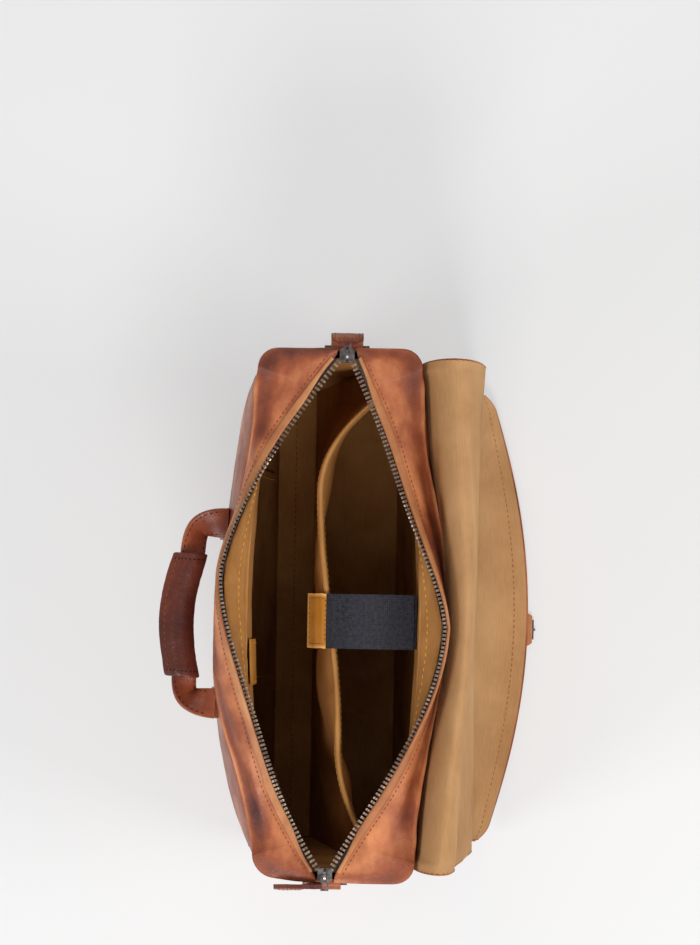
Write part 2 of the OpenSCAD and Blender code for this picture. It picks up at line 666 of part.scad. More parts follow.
// Anchor: the strap's stitched end, lying down the panel under the handle
anchor_length = 46;
anchor_top = handle_z - 1 - strap_thickness / 2 - run;
module handle_anchor(side) {
    x0 = side * handle_span / 2 - strap_width / 2;
    zs = [for (t = spread(4)) lerp(anchor_top - anchor_length, anchor_top, t)];
    xs = [for (t = spread(3)) x0 + strap_width * t];
    sheet([for (x = xs) [for (z = zs) [x, -wall_y_at(x, z, 1) - anchor_gap - anchor_leather, z]]],
          [for (x = xs) [for (z = zs) [x, -wall_y_at(x, z, 1) - anchor_gap, z]]]);
}
rivet_r = 3.4;
module anchor_rivet(side) {
    z = handle_z - anchor_length * 0.62;
    y = -wall_y_at(side * handle_span / 2, z, 1) - anchor_leather - anchor_gap - 2 * run;
    translate([side * handle_span / 2, y, z]) rotate([90, 0, 0]) rotate_extrude($fn = 48)
        intersection() {
            translate([0, -rivet_r * 1.4]) circle(rivet_r * 1.9, $fn = 64);
            square([rivet_r, 3]);
        }
}

// ---- pieces ----
module front_panel() color(LEATHER) panel(1);
module back_panel() color(LEATHER) mirror([0, 1, 0]) panel(-1);
module left_gusset() color(LEATHER) mirror([1, 0, 0]) gusset(mouth_y(-1));
module right_gusset() color(LEATHER) gusset(mouth_y(1));
module front_top_strip() color(LEATHER) top_strip(1);
module back_top_strip() color(LEATHER) mirror([0, 1, 0]) top_strip(-1);
module front_edge_band() color(PALE_LEATHER) edge_band(1);
module back_edge_band() color(PALE_LEATHER) mirror([0, 1, 0]) edge_band(-1);
module front_zip_tape() color(TAPE_GREY) zip_tape(1);
module back_zip_tape() color(TAPE_GREY) mirror([0, 1, 0]) zip_tape(-1);
module front_zip_teeth() color(DARK_METAL) zip_teeth(1);
module back_zip_teeth() color(DARK_METAL) mirror([0, 1, 0]) zip_teeth(-1);
module left_slider() color(SILVER) translate([-slider_x, mouth_y(-1), slider_z]) mirror([1, 0, 0]) slider();
module right_slider() color(SILVER) translate([slider_x, mouth_y(1), slider_z]) slider();
module left_pull_link() color(SILVER) place_left_pull() pull_link();
module right_pull_link() color(SILVER) place_right_pull() pull_link();
module left_pull_tab() color(LEATHER) place_left_tab() pull_tab();
module right_pull_tab() color(LEATHER) place_right_tab() pull_tab();
module left_ring_loop() color(LEATHER) mirror([1, 0, 0]) ring_loop(mouth_y(-1));
module right_ring_loop() color(LEATHER) ring_loop(mouth_y(1));
module left_d_ring() color(DARK_METAL) mirror([1, 0, 0]) d_ring(mouth_y(-1));
module right_d_ring() color(DARK_METAL) d_ring(mouth_y(1));
module front_facing() color(TAN_CLOTH) facing(1);
module back_facing() color(TAN_CLOTH) mirror([0, 1, 0]) facing(-1);
module front_lining() color(TAN_CLOTH) wall_lining(-1, 1, 0, 1, 0, lining, 18, 5);
module back_lining() color(TAN_CLOTH) mirror([0, 1, 0]) wall_lining(-1, 1, 0, 1, 0, lining, 18, 5);
module left_lining() color(TAN_CLOTH) mirror([1, 0, 0]) end_lining();
module right_lining() color(TAN_CLOTH) end_lining();
module floor_lining() color(TAN_CLOTH) translate([0, 0, floor_z - seat - lining])
    linear_extrude(lining) square([2 * lining_x + 2 * seat, 2 * floor_reach + 4], center = true);
module slip_pocket() color(TAN_CLOTH)
    wall_lining(-0.62, 0.3, 0.12, 0.72, -lining - 0.5, -0.5, 8, 3);
module leather_patch() color(MUSTARD)
    wall_lining(0.1, 0.28, 0.84, 0.985, -1.8, -0.3, 2, 2);
module divider() color(TAN_CLOTH) divider_sheet();
module divider_edge() color(TAN_CLOTH) divider_roll();
module loop_patch() color(WEBBING) {
    z = divider_top - patch_drop;
    share = (z - floor_z) / (divider_top - floor_z);
    y = lerp(divider_foot_y, divider_top_y(-0.08), pow(share, 1.2)) - divider_thickness / 2;
    translate([strap_x - patch_width / 2, y - patch_cloth - run, z])
        cube([patch_width, patch_cloth, patch_height]);
}
module strap_anchor() color(WEBBING)
    translate([strap_x - webbing_width / 2, strap_root_y - hinge_gap + run, strap_root_z - anchor_height])
        cube([webbing_width, hinge_gap - run - seat, anchor_height]);
module laptop_strap() color(WEBBING) across(webbing_width) webbing_profile();
module strap_tab() color(MUSTARD) across(webbing_width) strap_tab_profile();
module flap_riser() color(LEATHER) roll_sheet(leather_layer, 0, roll_cut - roll_gap, 5);
module flap_riser_lining() color(TAN_CLOTH)
    roll_sheet(lining_layer, 0, roll_cut - roll_gap, 5);
module flap_top() color(LEATHER) flap_top_sheet(leather_layer);
module flap_top_lining() color(TAN_CLOTH) flap_top_sheet(lining_layer);
module flap_front() color(LEATHER) flap_front_sheet(leather_layer);
module flap_front_lining() color(TAN_CLOTH) flap_front_sheet(lining_layer);
module clasp_tab() color(LEATHER) clasp_tab_shape();
module clasp_tongue() color(DARK_METAL)
    translate([clasp_x, flap_tip_reach + clasp_out + seat + 0.5, clasp_z - clasp_leather / 2])
        cube([clasp_width * 0.6, 1, clasp_leather], center = true);
module clasp_stud() color(DARK_METAL)
    translate([clasp_x, flap_tip_reach + clasp_out + 1 + 2 * seat, clasp_z - clasp_leather / 2])
        rotate([-90, 0, 0]) cylinder(h = 1.2, r = 1.1, $fn = 32);
lock_z = 52;
module lock_base() color(DARK_METAL) {
    y = wall_y_at(clasp_x, lock_z + 9, 1) + seat + 0.3;
    translate([clasp_x, -y, lock_z]) rotate([90, 0, 0]) linear_extrude(3.4) difference() {
        square([clasp_width, 16], center = true);
        square([clasp_width * 0.66, 3], center = true);
    }
}
module handle_grip() color(DARK_LEATHER) leaning() difference() {
    tube([for (t = spread(12)) grip_ring(t, grip_radius)]);
    tube([for (t = [-0.05 : 0.1 : 1.05]) grip_ring(t, grip_radius * 0.6)]);
}
module handle_core() color("gray") leaning()
    tube([for (t = spread(10)) grip_ring(t, grip_radius * 0.56)]);
module handle_straps() color(LEATHER) leaning() for (side = [-1, 1]) handle_strap(side);
module handle_anchors() color(LEATHER) for (side = [-1, 1]) handle_anchor(side);
module anchor_rivets() color(DARK_METAL) for (side = [-1, 1]) anchor_rivet(side);

base_panel();
base_board();
front_panel();
back_panel();
left_gusset();
right_gusset();
front_top_strip();
back_top_strip();
front_edge_band();
back_edge_band();
front_zip_tape();
back_zip_tape();
front_zip_teeth();
back_zip_teeth();
left_slider();
right_slider();
left_pull_link();
right_pull_link();
left_pull_tab();
right_pull_tab();
left_ring_loop();
right_ring_loop();
left_d_ring();
right_d_ring();
front_facing();
back_facing();
front_lining();
back_lining();
left_lining();
right_lining();
floor_lining();
slip_pocket();
leather_patch();
divider();
divider_edge();
loop_patch();
strap_anchor();
laptop_strap();
strap_tab();
flap_riser();
flap_riser_lining();
flap_top();
flap_top_lining();
flap_front();
flap_front_lining();
clasp_tab();
clasp_tongue();
clasp_stud();
lock_base();
handle_grip();
handle_core();
handle_straps();
handle_anchors();
anchor_rivets();
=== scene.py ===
"""Looks of a soft leather briefcase that stands open with its flap thrown back.

Every length is in millimetres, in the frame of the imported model, until it reaches a mesh.
A side is 1 at the front and -1 at the back. An end is -1 at the left and 1 at the right.
"""
import math

import bmesh
import bpy
import numpy as np
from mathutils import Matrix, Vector, noise


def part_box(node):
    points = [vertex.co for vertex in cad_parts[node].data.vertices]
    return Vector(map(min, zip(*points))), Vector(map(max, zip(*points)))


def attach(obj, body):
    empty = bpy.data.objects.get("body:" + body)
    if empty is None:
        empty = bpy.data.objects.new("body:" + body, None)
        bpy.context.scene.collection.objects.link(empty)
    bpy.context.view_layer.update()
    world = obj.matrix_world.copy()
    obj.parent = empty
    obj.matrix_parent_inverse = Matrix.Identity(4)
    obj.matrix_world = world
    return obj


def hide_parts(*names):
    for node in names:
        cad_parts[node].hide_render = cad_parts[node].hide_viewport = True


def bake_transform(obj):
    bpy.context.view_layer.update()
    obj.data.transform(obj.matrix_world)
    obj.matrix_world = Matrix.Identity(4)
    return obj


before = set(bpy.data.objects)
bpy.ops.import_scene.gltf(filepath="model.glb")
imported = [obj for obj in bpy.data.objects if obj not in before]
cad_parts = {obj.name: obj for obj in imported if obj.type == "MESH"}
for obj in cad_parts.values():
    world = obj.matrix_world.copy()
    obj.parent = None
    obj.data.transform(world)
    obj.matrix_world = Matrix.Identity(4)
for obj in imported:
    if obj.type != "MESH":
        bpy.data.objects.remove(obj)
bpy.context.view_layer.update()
MM = 0.001
SIDES = {1: "front", -1: "back"}
ENDS = {-1: "left", 1: "right"}


# ---- sizes of the bag
def far_corner(node):
    return np.array(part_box(node)[1]) / MM


HALF_LENGTH, HALF_DEPTH, LEATHER = far_corner("base_panel")
HEIGHT = far_corner("left_gusset")[2]
FLAP_HALF = far_corner("flap_top")[0]
CORNER = 15.0
SEAM_X = HALF_LENGTH - CORNER
BULGE = {1: 30.0, -1: 20.0}
BULGE_SHIFT = 24.0
RIDGE_DROP = 12.0
SEAT = 0.2
RUN = 0.3
FOOT = LEATHER + SEAT
TOOTH_REACH = 4.0
TAPE_SHOW = 3.0
TAPE = 0.6
MOUTH = {1: 91.0, -1: 83.0}
MOUTH_POWER = {1: 1.0, -1: 1.15}
MOUTH_LEAN = 5.0
PEAK = {1: 0.18, -1: 0.05}
SKEW = 0.2
RIM_RISE = 24.0
STRIP_BOW = {1: 3.0, -1: 1.0}
ZIP_X = HALF_LENGTH - 5
ZIP_SHARE = 0.88
LINING = 1.0
LINING_X = HALF_LENGTH - 8
FLOOR_REACH = 50.0
FACING_REACH = 63.0
FLOOR_Z = LEATHER + 3 + LINING + 3 * SEAT


def lerp(a, b, t):
    return a + (b - a) * t


def clamp(t):
    return min(1.0, max(0.0, t))


def step(a, b, x):
    t = clamp((x - a) / (b - a))
    return t * t * (3 - 2 * t)


def hump(x, middle, width):
    """A soft bump of height 1 about middle."""
    return math.exp(-((x - middle) / width) ** 2)


def bow(t):
    """0 at both ends of the range from 0 to 1, and 1 in its middle."""
    return math.sin(math.pi * t)


def closer_at_ends(half, count):
    """Places from -half to half, ever closer together toward both ends."""
    return [half * bow(t - 0.5) for t in np.linspace(0, 1, count)]


def unit(v):
    v = np.asarray(v, float)
    return v / max(1e-9, np.linalg.norm(v))


def bezier(p, t):
    p = [np.asarray(q, float) for q in p]
    return p[0] * (1 - t) ** 3 + p[1] * 3 * t * (1 - t) ** 2 + p[2] * 3 * t * t * (1 - t) + p[3] * t ** 3


def ripple(x, y, z=0.0, octaves=3):
    """Smooth noise from -1 to 1; the arguments are already in wrinkle widths."""
    total, gain = 0.0, 1.0
    for k in range(octaves):
        total += gain * noise.noise(Vector((x, y, z + 7.3 * k)))
        x, y, z, gain = 2.03 * x, 2.03 * y, 2.03 * z, gain * 0.5
    return total


def along(x, side):
    """Swelling along a panel; the front's is fullest right of its middle."""
    if side > 0:
        x = x - BULGE_SHIFT * (1 - (x / SEAM_X) ** 2)
    return max(0.0, 1 - (x / SEAM_X) ** 2)


def swell(x, side):
    return along(x, side) ** 0.55


def fold_swell(x, side):
    return along(x, side) ** 3


def fullness(v):
    """Swelling up a panel, fullest above its middle; 0 at its foot and 1 at its top."""
    return math.sin(math.radians(112 * v)) / math.sin(math.radians(112))


def ridge_z(x, side):
    return HEIGHT - RIDGE_DROP * swell(x, side)


def wall_y(x, v, side):
    """How far a wall stands from the middle plane, at share v of its height."""
    return HALF_DEPTH + BULGE[side] * lerp(swell(x, side) * fullness(v), fold_swell(x, side), v ** 6)


def wall_y_at(x, z, side):
    return wall_y(x, (z - FOOT) / (ridge_z(x, side) - FOOT), side)


def arch(u):
    return math.cos(math.pi / 2 * min(1.0, abs(u)))


def mouth_q(u, side):
    """Half opening of the mouth at share u of the zip, drawn in on one half."""
    draw_in = max(0.0, math.sin(math.pi * (u * side + PEAK[side]) / (1 + PEAK[side]))) ** 1.3
    start = TOOTH_REACH / 2 + 0.4
    return start + (MOUTH[side] - start) * arch(u) ** MOUTH_POWER[side] * (1 - SKEW * draw_in)


def mouth_y(u):
    return -MOUTH_LEAN * u * abs(u)


def zip_q(u, side):
    return mouth_q(u, side) - side * mouth_y(u)


def zip_z(u):
    return HEIGHT + LEATHER + SEAT + RIM_RISE * arch(u) ** 2


def ridge_point(x, side):
    return np.array([x, -wall_y(x, 1, side),
                     ridge_z(x, side) + SEAT + LEATHER * (1 - 0.5 * fold_swell(x, side))])


def tilt(u, side):
    """Slope of the top strip across, from its fold up to the zip."""
    r = ridge_point(min(SEAM_X, max(-SEAM_X, u * SEAM_X / ZIP_SHARE)), side)
    return math.atan2(zip_z(u) - r[2], -r[1] - zip_q(u, side))


def zip_point(u, s, n, side):
    """A place s outwards from the zip along the strip's slope, and n above it."""
    a = tilt(u, side)
    return np.array([u * ZIP_X,
                     -(zip_q(u, side) + s * math.cos(a) + n * math.sin(a)),
                     zip_z(u) - s * math.sin(a) + n * math.cos(a)])


def zip_normal(u, side):
    a = tilt(u, side)
    return np.array([0, -math.sin(a), math.cos(a)])


# ---- mesh helpers
def run_of(path):
    """Length along a path up to each of its points."""
    return np.concatenate([[0], np.cumsum(np.linalg.norm(np.diff(path, axis=0), axis=1))])


def point_at(s, run, values):
    """What the rows of values come to at length s along their path."""
    return np.array([np.interp(s, run, values[:, c]) for c in range(3)])


def normals_of(P):
    n = np.cross(np.gradient(P, axis=0), np.gradient(P, axis=1))
    return n / np.maximum(1e-9, np.linalg.norm(n, axis=2, keepdims=True))


def grid(place, us, vs):
    return np.array([[place(u, v) for v in vs] for u in us])


def facing(P, *direction):
    """Rows ordered so that the normal in the grid's middle points along direction."""
    middle = normals_of(P)[P.shape[0] // 2, P.shape[1] // 2]
    return P if middle @ direction > 0 else P[::-1]


def rim_distance(i, j, P):
    """How many rows or columns away the nearest rim of a grid is."""
    return min(i, len(P) - 1 - i, j, len(P[0]) - 1 - j)


def smooth_grid(P, rounds):
    """Relaxes a grid of points; its rim stays where it is."""
    P = P.copy()
    for _ in range(rounds):
        mean = (P[:-2, 1:-1] + P[2:, 1:-1] + P[1:-1, :-2] + P[1:-1, 2:]) / 4
        P[1:-1, 1:-1] += 0.5 * (mean - P[1:-1, 1:-1])
    return P


def grid_uv(P):
    """Lengths along both directions of a grid, so that threads and grain keep their size."""
    u, v = (np.concatenate([[0], np.cumsum(np.linalg.norm(np.diff(P, axis=k), axis=2).mean(axis=1 - k))])
            for k in (0, 1))
    return np.stack(np.meshgrid(u, v, indexing="ij"), axis=2).reshape(-1, 2)


def border(G, inset):
    """Values of a grid that lie some rows in from its rim, in order around it."""
    far = -inset - 1
    return np.concatenate([G[inset, inset:-inset], G[inset:-inset, far], G[far, far:inset:-1],
                           G[far:inset:-1, inset]])


def add_object(name, data):
    obj = bpy.data.objects.new(name, data)
    bpy.context.scene.collection.objects.link(obj)
    return obj


def finish_mesh(obj, material, body, smooth_angle):
    obj.data.materials.append(material)
    for poly in obj.data.polygons:
        poly.use_smooth = True
    obj.data.set_sharp_from_angle(angle=math.radians(smooth_angle))
    if body:
        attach(obj, body)
    return obj


def new_object(name, verts, faces, uvs=None, tone=None):
    mesh = bpy.data.meshes.new(name)
    mesh.from_pydata([tuple(v) for v in np.asarray(verts, float) * MM], [], faces)
    mesh.validate()
    if uvs is not None:
        layer = mesh.uv_layers.new(name="UVMap")
        index = np.zeros(len(mesh.loops), int)
        mesh.loops.foreach_get("vertex_index", index)
        layer.data.foreach_set("uv", (np.asarray(uvs, float)[index] * MM).ravel())
    if tone is not None:
        attribute = mesh.attributes.new("tone", "FLOAT", "POINT")
        attribute.data.foreach_set("value", np.asarray(tone, np.float32))
    mesh.update()
    return add_object(name, mesh)


def fit(obj, slot, *nodes):
    """Hides the CAD nodes that a piece stands for; the slot argument is not used."""
    if nodes:
        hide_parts(*nodes)
    return obj


def slab(name, P, thick, material, body, tone=None, angle=60):
    """Closed sheet: P is its outer face, the other face lies thick below it."""
    rows, cols = P.shape[:2]
    verts = np.concatenate([P.reshape(-1, 3), (P - normals_of(P) * thick).reshape(-1, 3)])
    count = rows * cols
    faces = []
    for a in (i * cols + j for i in range(rows - 1) for j in range(cols - 1)):
        faces.append((a, a + cols, a + cols + 1, a + 1))
        faces.append((count + a, count + a + 1, count + a + cols + 1, count + a + cols))
    rim = ([i * cols for i in range(rows)] + [(rows - 1) * cols + j for j in range(1, cols)]
           + [i * cols + cols - 1 for i in range(rows - 2, -1, -1)] + list(range(cols - 2, 0, -1)))
    faces += [(a, count + a, count + b, b) for a, b in zip(rim, rim[1:] + rim[:1])]
    uv = grid_uv(P)
    tones = None if tone is None else np.concatenate([np.ravel(tone)] * 2)
    return finish_mesh(new_object(name, verts, faces, np.concatenate([uv, uv]), tones), material, body, angle)


def tube_faces(count, sides, start=0):
    """Quads between count rings of vertices."""
    around = [(j, (j + 1) % sides) for j in range(sides)]
    return [(a + j, a + m, a + sides + m, a + sides + j)
            for a in range(start, start + (count - 1) * sides, sides) for j, m in around]


def sweep(name, path, ring, material, body, angle=50, tone=None):
    """Tube of the rings that ring(i, point) gives along path."""
    rings = [np.asarray(ring(i, p), float) for i, p in enumerate(path)]
    sides, count = len(rings[0]), len(rings)
    faces = tube_faces(count, sides)
    faces.append(tuple(range(sides - 1, -1, -1)))
    faces.append(tuple((count - 1) * sides + j for j in range(sides)))
    length = run_of([r.mean(axis=0) for r in rings])
    girth = np.linalg.norm(rings[0] - np.roll(rings[0], 1, axis=0), axis=1).cumsum()
    uv = [(a, b) for a in length for b in girth]
    tones = None if tone is None else np.repeat(tone, sides)
    return finish_mesh(new_object(name, np.concatenate(rings), faces, uv, tones), material, body, angle)


# Places along a stitch, as shares of its length, and how fat it is there.
STITCH_PROFILE = [(-0.5, 0.0), (-0.42, 0.7), (-0.2, 1.0), (0.2, 1.0), (0.42, 0.7), (0.5, 0.0)]
STITCH_SIDES = 6
STITCH_SINK = 0.15


def stitches(name, slot, path, normals, material, body, length=3.2, gap=1.5, radius=0.42):
    """A row of sewn stitches that lie along a path on a surface."""
    path, normals = np.asarray(path, float), np.asarray(normals, float)
    run = run_of(path)
    verts, faces = [], []
    count = max(1, int(run[-1] / (length + gap)))
    turns = np.linspace(0, 2 * math.pi, STITCH_SIDES, endpoint=False)
    for k in range(count):
        faces += tube_faces(len(STITCH_PROFILE), STITCH_SIDES, len(verts))
        for share, fat in STITCH_PROFILE:
            s = (k + 0.5) * run[-1] / count + share * length
            up = unit(point_at(s, run, normals))
            across = unit(np.cross(up, point_at(s + 0.5, run, path) - point_at(s - 0.5, run, path)))
            centre = point_at(s, run, path) + up * (radius * 0.5 * fat - STITCH_SINK)
            verts += [centre + (across * math.cos(a) + up * math.sin(a) * 0.8) * radius * max(fat, 0.12)
                      for a in turns]
    return fit(finish_mesh(new_object(name, verts, faces), material, body, 80), slot)


# ---- materials
def srgb(colour):
    """Linear colour of three 8-bit values."""
    shares = (c / 255 for c in colour)
    return (*(c / 12.92 if c < 0.04045 else ((c + 0.055) / 1.055) ** 2.4 for c in shares), 1.0)


class Nodes:
    """Builds a material's node tree in a few words."""

    def __init__(self, name):
        self.material = bpy.data.materials.new(name)
        self.material.use_nodes = True
        self.tree = self.material.node_tree
        self.tree.nodes.clear()
        out = self.new("OutputMaterial")
        self.shader = self.new("BsdfPrincipled")
        self.put(out.inputs["Surface"], self.shader.outputs[0])
        self.coords = self.new("TexCoord").outputs

    def new(self, kind, **inputs):
        node = self.tree.nodes.new("ShaderNode" + kind)
        self.set(node, **inputs)
        return node

    def put(self, socket, value):
        if isinstance(value, bpy.types.NodeSocket):
            self.tree.links.new(value, socket)
        else:
            socket.default_value = value

    def set(self, node, **inputs):
        """Sets or links inputs by name, with an underscore for each space."""
        for key, value in inputs.items():
            self.put(node.inputs[key.replace("_", " ")], value)

    def mapped(self, scale, space="Object"):
        return self.new("Mapping", Vector=self.coords[space], Scale=scale).outputs[0]

    def noise(self, scale, detail, rough, vector=None, distortion=0.0):
        return self.new("TexNoise", Vector=vector or self.coords["Object"], Scale=scale, Detail=detail,
                        Roughness=rough, Distortion=distortion).outputs["Fac"]

    def cells(self, scale, feature="F1", vector=None):
        node = self.new("TexVoronoi", Vector=vector or self.coords["Object"], Scale=scale)
        node.feature = feature
        return node.outputs["Distance"]

    def wave(self, scale, direction):
        node = self.new("TexWave", Vector=self.mapped((1, 1, 1), "UV"), Scale=scale)
        node.bands_direction = direction
        return node.outputs["Fac"]

    def math(self, operation, a, b, limit=False):
        node = self.new("Math")
        node.operation, node.use_clamp = operation, limit
        self.put(node.inputs[0], a)
        self.put(node.inputs[1], b)
        return node.outputs[0]

    def total(self, *shares):
        """Sum of values, each times its weight."""
        parts = [self.math("MULTIPLY", value, weight) for value, weight in shares]
        level = parts[0]
        for part in parts[1:]:
            level = self.math("ADD", level, part)
        return level

    def toned(self, level):
        """Adds the piece's own painted tone."""
        node = self.new("Attribute")
        node.attribute_name = "tone"
        return self.math("ADD", level, node.outputs["Fac"], True)

    def ramp(self, factor, *stops):
        node = self.new("ValToRGB", Fac=factor)
        elements = node.color_ramp.elements
        while len(elements) < len(stops):
            elements.new(0.5)
        for element, (place, colour) in zip(elements, stops):
            element.position = place
            element.color = srgb(colour)
        return node.outputs["Color"]

    def spread(self, factor, low, high, to_low, to_high):
        return self.new("MapRange", Value=factor, From_Min=low, From_Max=high, To_Min=to_low,
                        To_Max=to_high).outputs[0]

    def bump(self, height, distance, strength, under=None):
        node = self.new("Bump", Height=height, Distance=distance, Strength=strength)
        if under is not None:
            self.set(node, Normal=under)
        return node.outputs[0]


def leather(name, dark, mid, light, rough=(0.34, 0.52), contrast=1.0, broad=9.0):
    """Waxed pull-up leather: clouds and streaks between three tones, plus the piece's tone, which on the shell
    holds painted highlights and shade along its folds; with a pebbled grain.
    """
    m = Nodes(name)
    mottled = m.noise(broad * 6, 7, 0.62)
    level = m.total((m.noise(broad, 5, 0.55, distortion=0.8), 0.55), (mottled, 0.20),
                    (m.noise(1, 5, 0.6, vector=m.mapped((34, 60, 12))), 0.25))
    level = m.toned(m.math("ADD", m.math("MULTIPLY", m.math("SUBTRACT", level, 0.5), 2.2 * contrast), 0.5))
    crease = m.cells(95, "DISTANCE_TO_EDGE", vector=m.mapped((1, 1.7, 1.3)))
    n = m.bump(m.noise(70, 4, 0.6), 0.0009, 0.5)
    n = m.bump(m.spread(crease, 0.0, 0.06, 0.0, 1.0), 0.00012, 0.35, n)
    n = m.bump(m.cells(620), 0.00022, 0.55, n)
    n = m.bump(m.noise(1178, 3, 0.6), 0.0001, 0.4, n)
    m.set(m.shader, Base_Color=m.ramp(level, (0.12, dark), (0.48, mid), (0.88, light)),
          Roughness=m.spread(mottled, 0.3, 0.7, rough[1], rough[0]), Specular_IOR_Level=0.32, Normal=n)
    return m.material


def cloth(name, dark, light, thread=0.7, rough=0.9, blotch=14.0, depth=0.00012, ply=0.16, painted_shade=None):
    """Plain weave; threads run along the piece's own two directions."""
    m = Nodes(name)
    per_metre = 1000 / thread / math.pi
    weave = m.math("MULTIPLY", m.wave(per_metre, "X"), m.wave(per_metre, "Y"))
    level = m.toned(m.total((m.noise(blotch, 5, 0.6, distortion=0.4), 0.66),
                            (m.noise(1, 4, 0.6, vector=m.mapped((60, 900, 1), "UV")), 0.22), (weave, ply)))
    # The lowest stop is the colour of a piece's painted shade, where one is given.
    m.set(m.shader, Base_Color=m.ramp(level, (0.06, painted_shade or dark), (0.30, dark), (0.72, light)),
          Roughness=rough, Specular_IOR_Level=0.06,
          Normal=m.bump(weave, depth, 0.7, m.bump(m.noise(60, 4, 0.6), 0.0006, 0.5)))
    return m.material


def metal(name, dark, light, rough):
    m = Nodes(name)
    spots = m.noise(240, 5, 0.6)
    m.set(m.shader, Base_Color=m.ramp(spots, (0.35, dark), (0.68, light)), Metallic=1.0,
          Roughness=m.spread(spots, 0.3, 0.7, rough[1], rough[0]),
          Normal=m.bump(m.noise(1440, 2, 0.5), 0.00003, 0.5))
    return m.material


M_LEATHER = leather("cognac_leather", (74, 33, 28), (142, 74, 46), (212, 136, 88), contrast=0.95, broad=6.5)
M_STRAP = leather("strap_leather", (66, 26, 18), (114, 52, 34), (172, 96, 62), rough=(0.26, 0.42))
M_BAND = leather("edge_leather", (122, 70, 44), (166, 106, 66), (206, 150, 100), contrast=0.8)
M_GRIP = leather("grip_leather", (50, 20, 16), (86, 38, 28), (132, 66, 46), rough=(0.28, 0.44))
M_MUSTARD = leather("mustard_leather", (140, 84, 22), (174, 112, 34), (224, 168, 96), contrast=0.6)
M_LINING = cloth("lining_cotton", (136, 88, 44), (196, 142, 84))
# Its darkest colour serves the painted shade near the flap's root.
M_FLAP_CLOTH = cloth("flap_cotton", (152, 110, 70), (202, 160, 114), blotch=9.0, painted_shade=(128, 72, 48))
M_WEBBING = cloth("webbing", (30, 30, 34), (64, 64, 71), thread=1.6, rough=0.8, blotch=420.0, depth=0.0004,
                  ply=0.1)
M_TAPE = cloth("zip_tape", (58, 50, 46), (98, 88, 82), thread=0.8)
M_TEETH = metal("zip_teeth", (104, 88, 78), (182, 162, 146), (0.45, 0.65))
M_DARK_METAL = metal("antique_metal", (44, 38, 36), (104, 92, 84), (0.35, 0.55))
M_SILVER = metal("slider_metal", (84, 78, 76), (150, 144, 140), (0.3, 0.5))
M_THREAD = cloth("leather_thread", (104, 60, 34), (158, 100, 58), thread=0.5, rough=0.6)
M_THREAD_TAN = cloth("tan_thread", (186, 130, 46), (230, 180, 84), thread=0.5, rough=0.6)
M_THREAD_CLOTH = cloth("flap_thread", (140, 92, 52), (182, 132, 84), thread=0.5, rough=0.7)
M_THREAD_DARK = cloth("dark_thread", (30, 28, 28), (56, 52, 50), thread=0.5, rough=0.6)
M_BOARD = cloth("board", (90, 74, 56), (120, 100, 76))


def dress(material, *nodes):
    """A CAD node whose shape is right keeps its mesh and gets a finished material."""
    for node in nodes:
        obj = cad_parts[node]
        if not obj.material_slots:
            obj.data.materials.append(material)
        for s in obj.material_slots:
            s.material = material


dress(M_BOARD, "base_board", "handle_core")
dress(M_TEETH, "front_zip_teeth", "back_zip_teeth")
dress(M_TAPE, "front_zip_tape", "back_zip_tape")
dress(M_DARK_METAL, "left_d_ring", "right_d_ring", "clasp_tongue", "clasp_stud", "lock_base", "anchor_rivets")
dress(M_SILVER, "left_slider", "right_slider", "left_pull_link", "right_pull_link")


# ---- leather shell of the bag
# Heights on a wall as shares, closer together below its top fold; FOLD is the first column past them.
WALL_VS = np.concatenate([np.linspace(0, 0.9, 28), 1 - np.array([22, 17, 13, 9.5, 7, 5, 3.4, 2.2, 1.1]) / 280])
FOLD = len(WALL_VS)
STRIP_WS = np.concatenate([[1, 0.985, 0.97, 0.95, 0.92], np.linspace(0.88, 0, 25)])
SHOWN_LEATHER = 1.6
# How far the shell's right front corner sinks in, where its slump is full.
SLUMP = np.array([-5.0, 3.5, 0])


def end_row(end, t, side):
    """Share 0 at the zip's end to 1 at the corner, along the short end of the bag's top."""
    start = TAPE_SHOW + TOOTH_REACH - side * mouth_y(end)
    return (end * (1 - (1 - ZIP_SHARE) * 0.55 * t),
            np.array([end * HALF_LENGTH, -lerp(start, HALF_DEPTH - CORNER, t), HEIGHT + SEAT + LEATHER]), False)


def corner_row(end, a):
    r = math.radians(a)
    return (end * (1 - (1 - ZIP_SHARE) * (0.55 + 0.4 * a / 90)),
            np.array([end * (SEAM_X + CORNER * math.cos(r)),
                      -(HALF_DEPTH - CORNER + CORNER * math.sin(r)), HEIGHT + SEAT + LEATHER]), False)


def outline_rows(side):
    """Rows from end to end: a place on the zip, one on the bag's outline, and whether it is on the panel."""
    rows = [end_row(-1, t, side) for t in np.linspace(0, 1, 12)]
    rows += [corner_row(-1, a) for a in np.linspace(12, 84, 7)]
    rows += [(x / SEAM_X * ZIP_SHARE, ridge_point(x, side), True) for x in closer_at_ends(SEAM_X, 150)]
    rows += [corner_row(1, a) for a in np.linspace(84, 12, 7)]
    rows += [end_row(1, t, side) for t in np.linspace(1, 0, 12)]
    return rows


ROWS = {side: outline_rows(side) for side in SIDES}


def strip_point(row, w, side):
    """A place on the top strip of this row, 0 at the zip and 1 at the top fold."""
    inner = zip_point(row[0], TAPE_SHOW + TOOTH_REACH / 2, 0, side)
    return inner + (row[1] - inner) * w + STRIP_BOW[side] * bow(w) * zip_normal(row[0], side)


def wall_point(row, v, side):
    """A place on the wall below this row, 0 at the base and 1 at the top fold."""
    x = row[1][0]
    if row[2]:
        return np.array([x, -wall_y(x, v, side), lerp(FOOT, ridge_z(x, side), v)])
    slot = TAPE_SHOW + TOOTH_REACH
    start, end = slot - side * mouth_y(math.copysign(1, x)), HALF_DEPTH - CORNER
    closed = clamp((end + row[1][1]) / (end - start)) * (1 - step(0.955, 0.99, v))
    return np.array([x, row[1][1] + (slot - 0.02) * closed, lerp(FOOT, HEIGHT, v)])


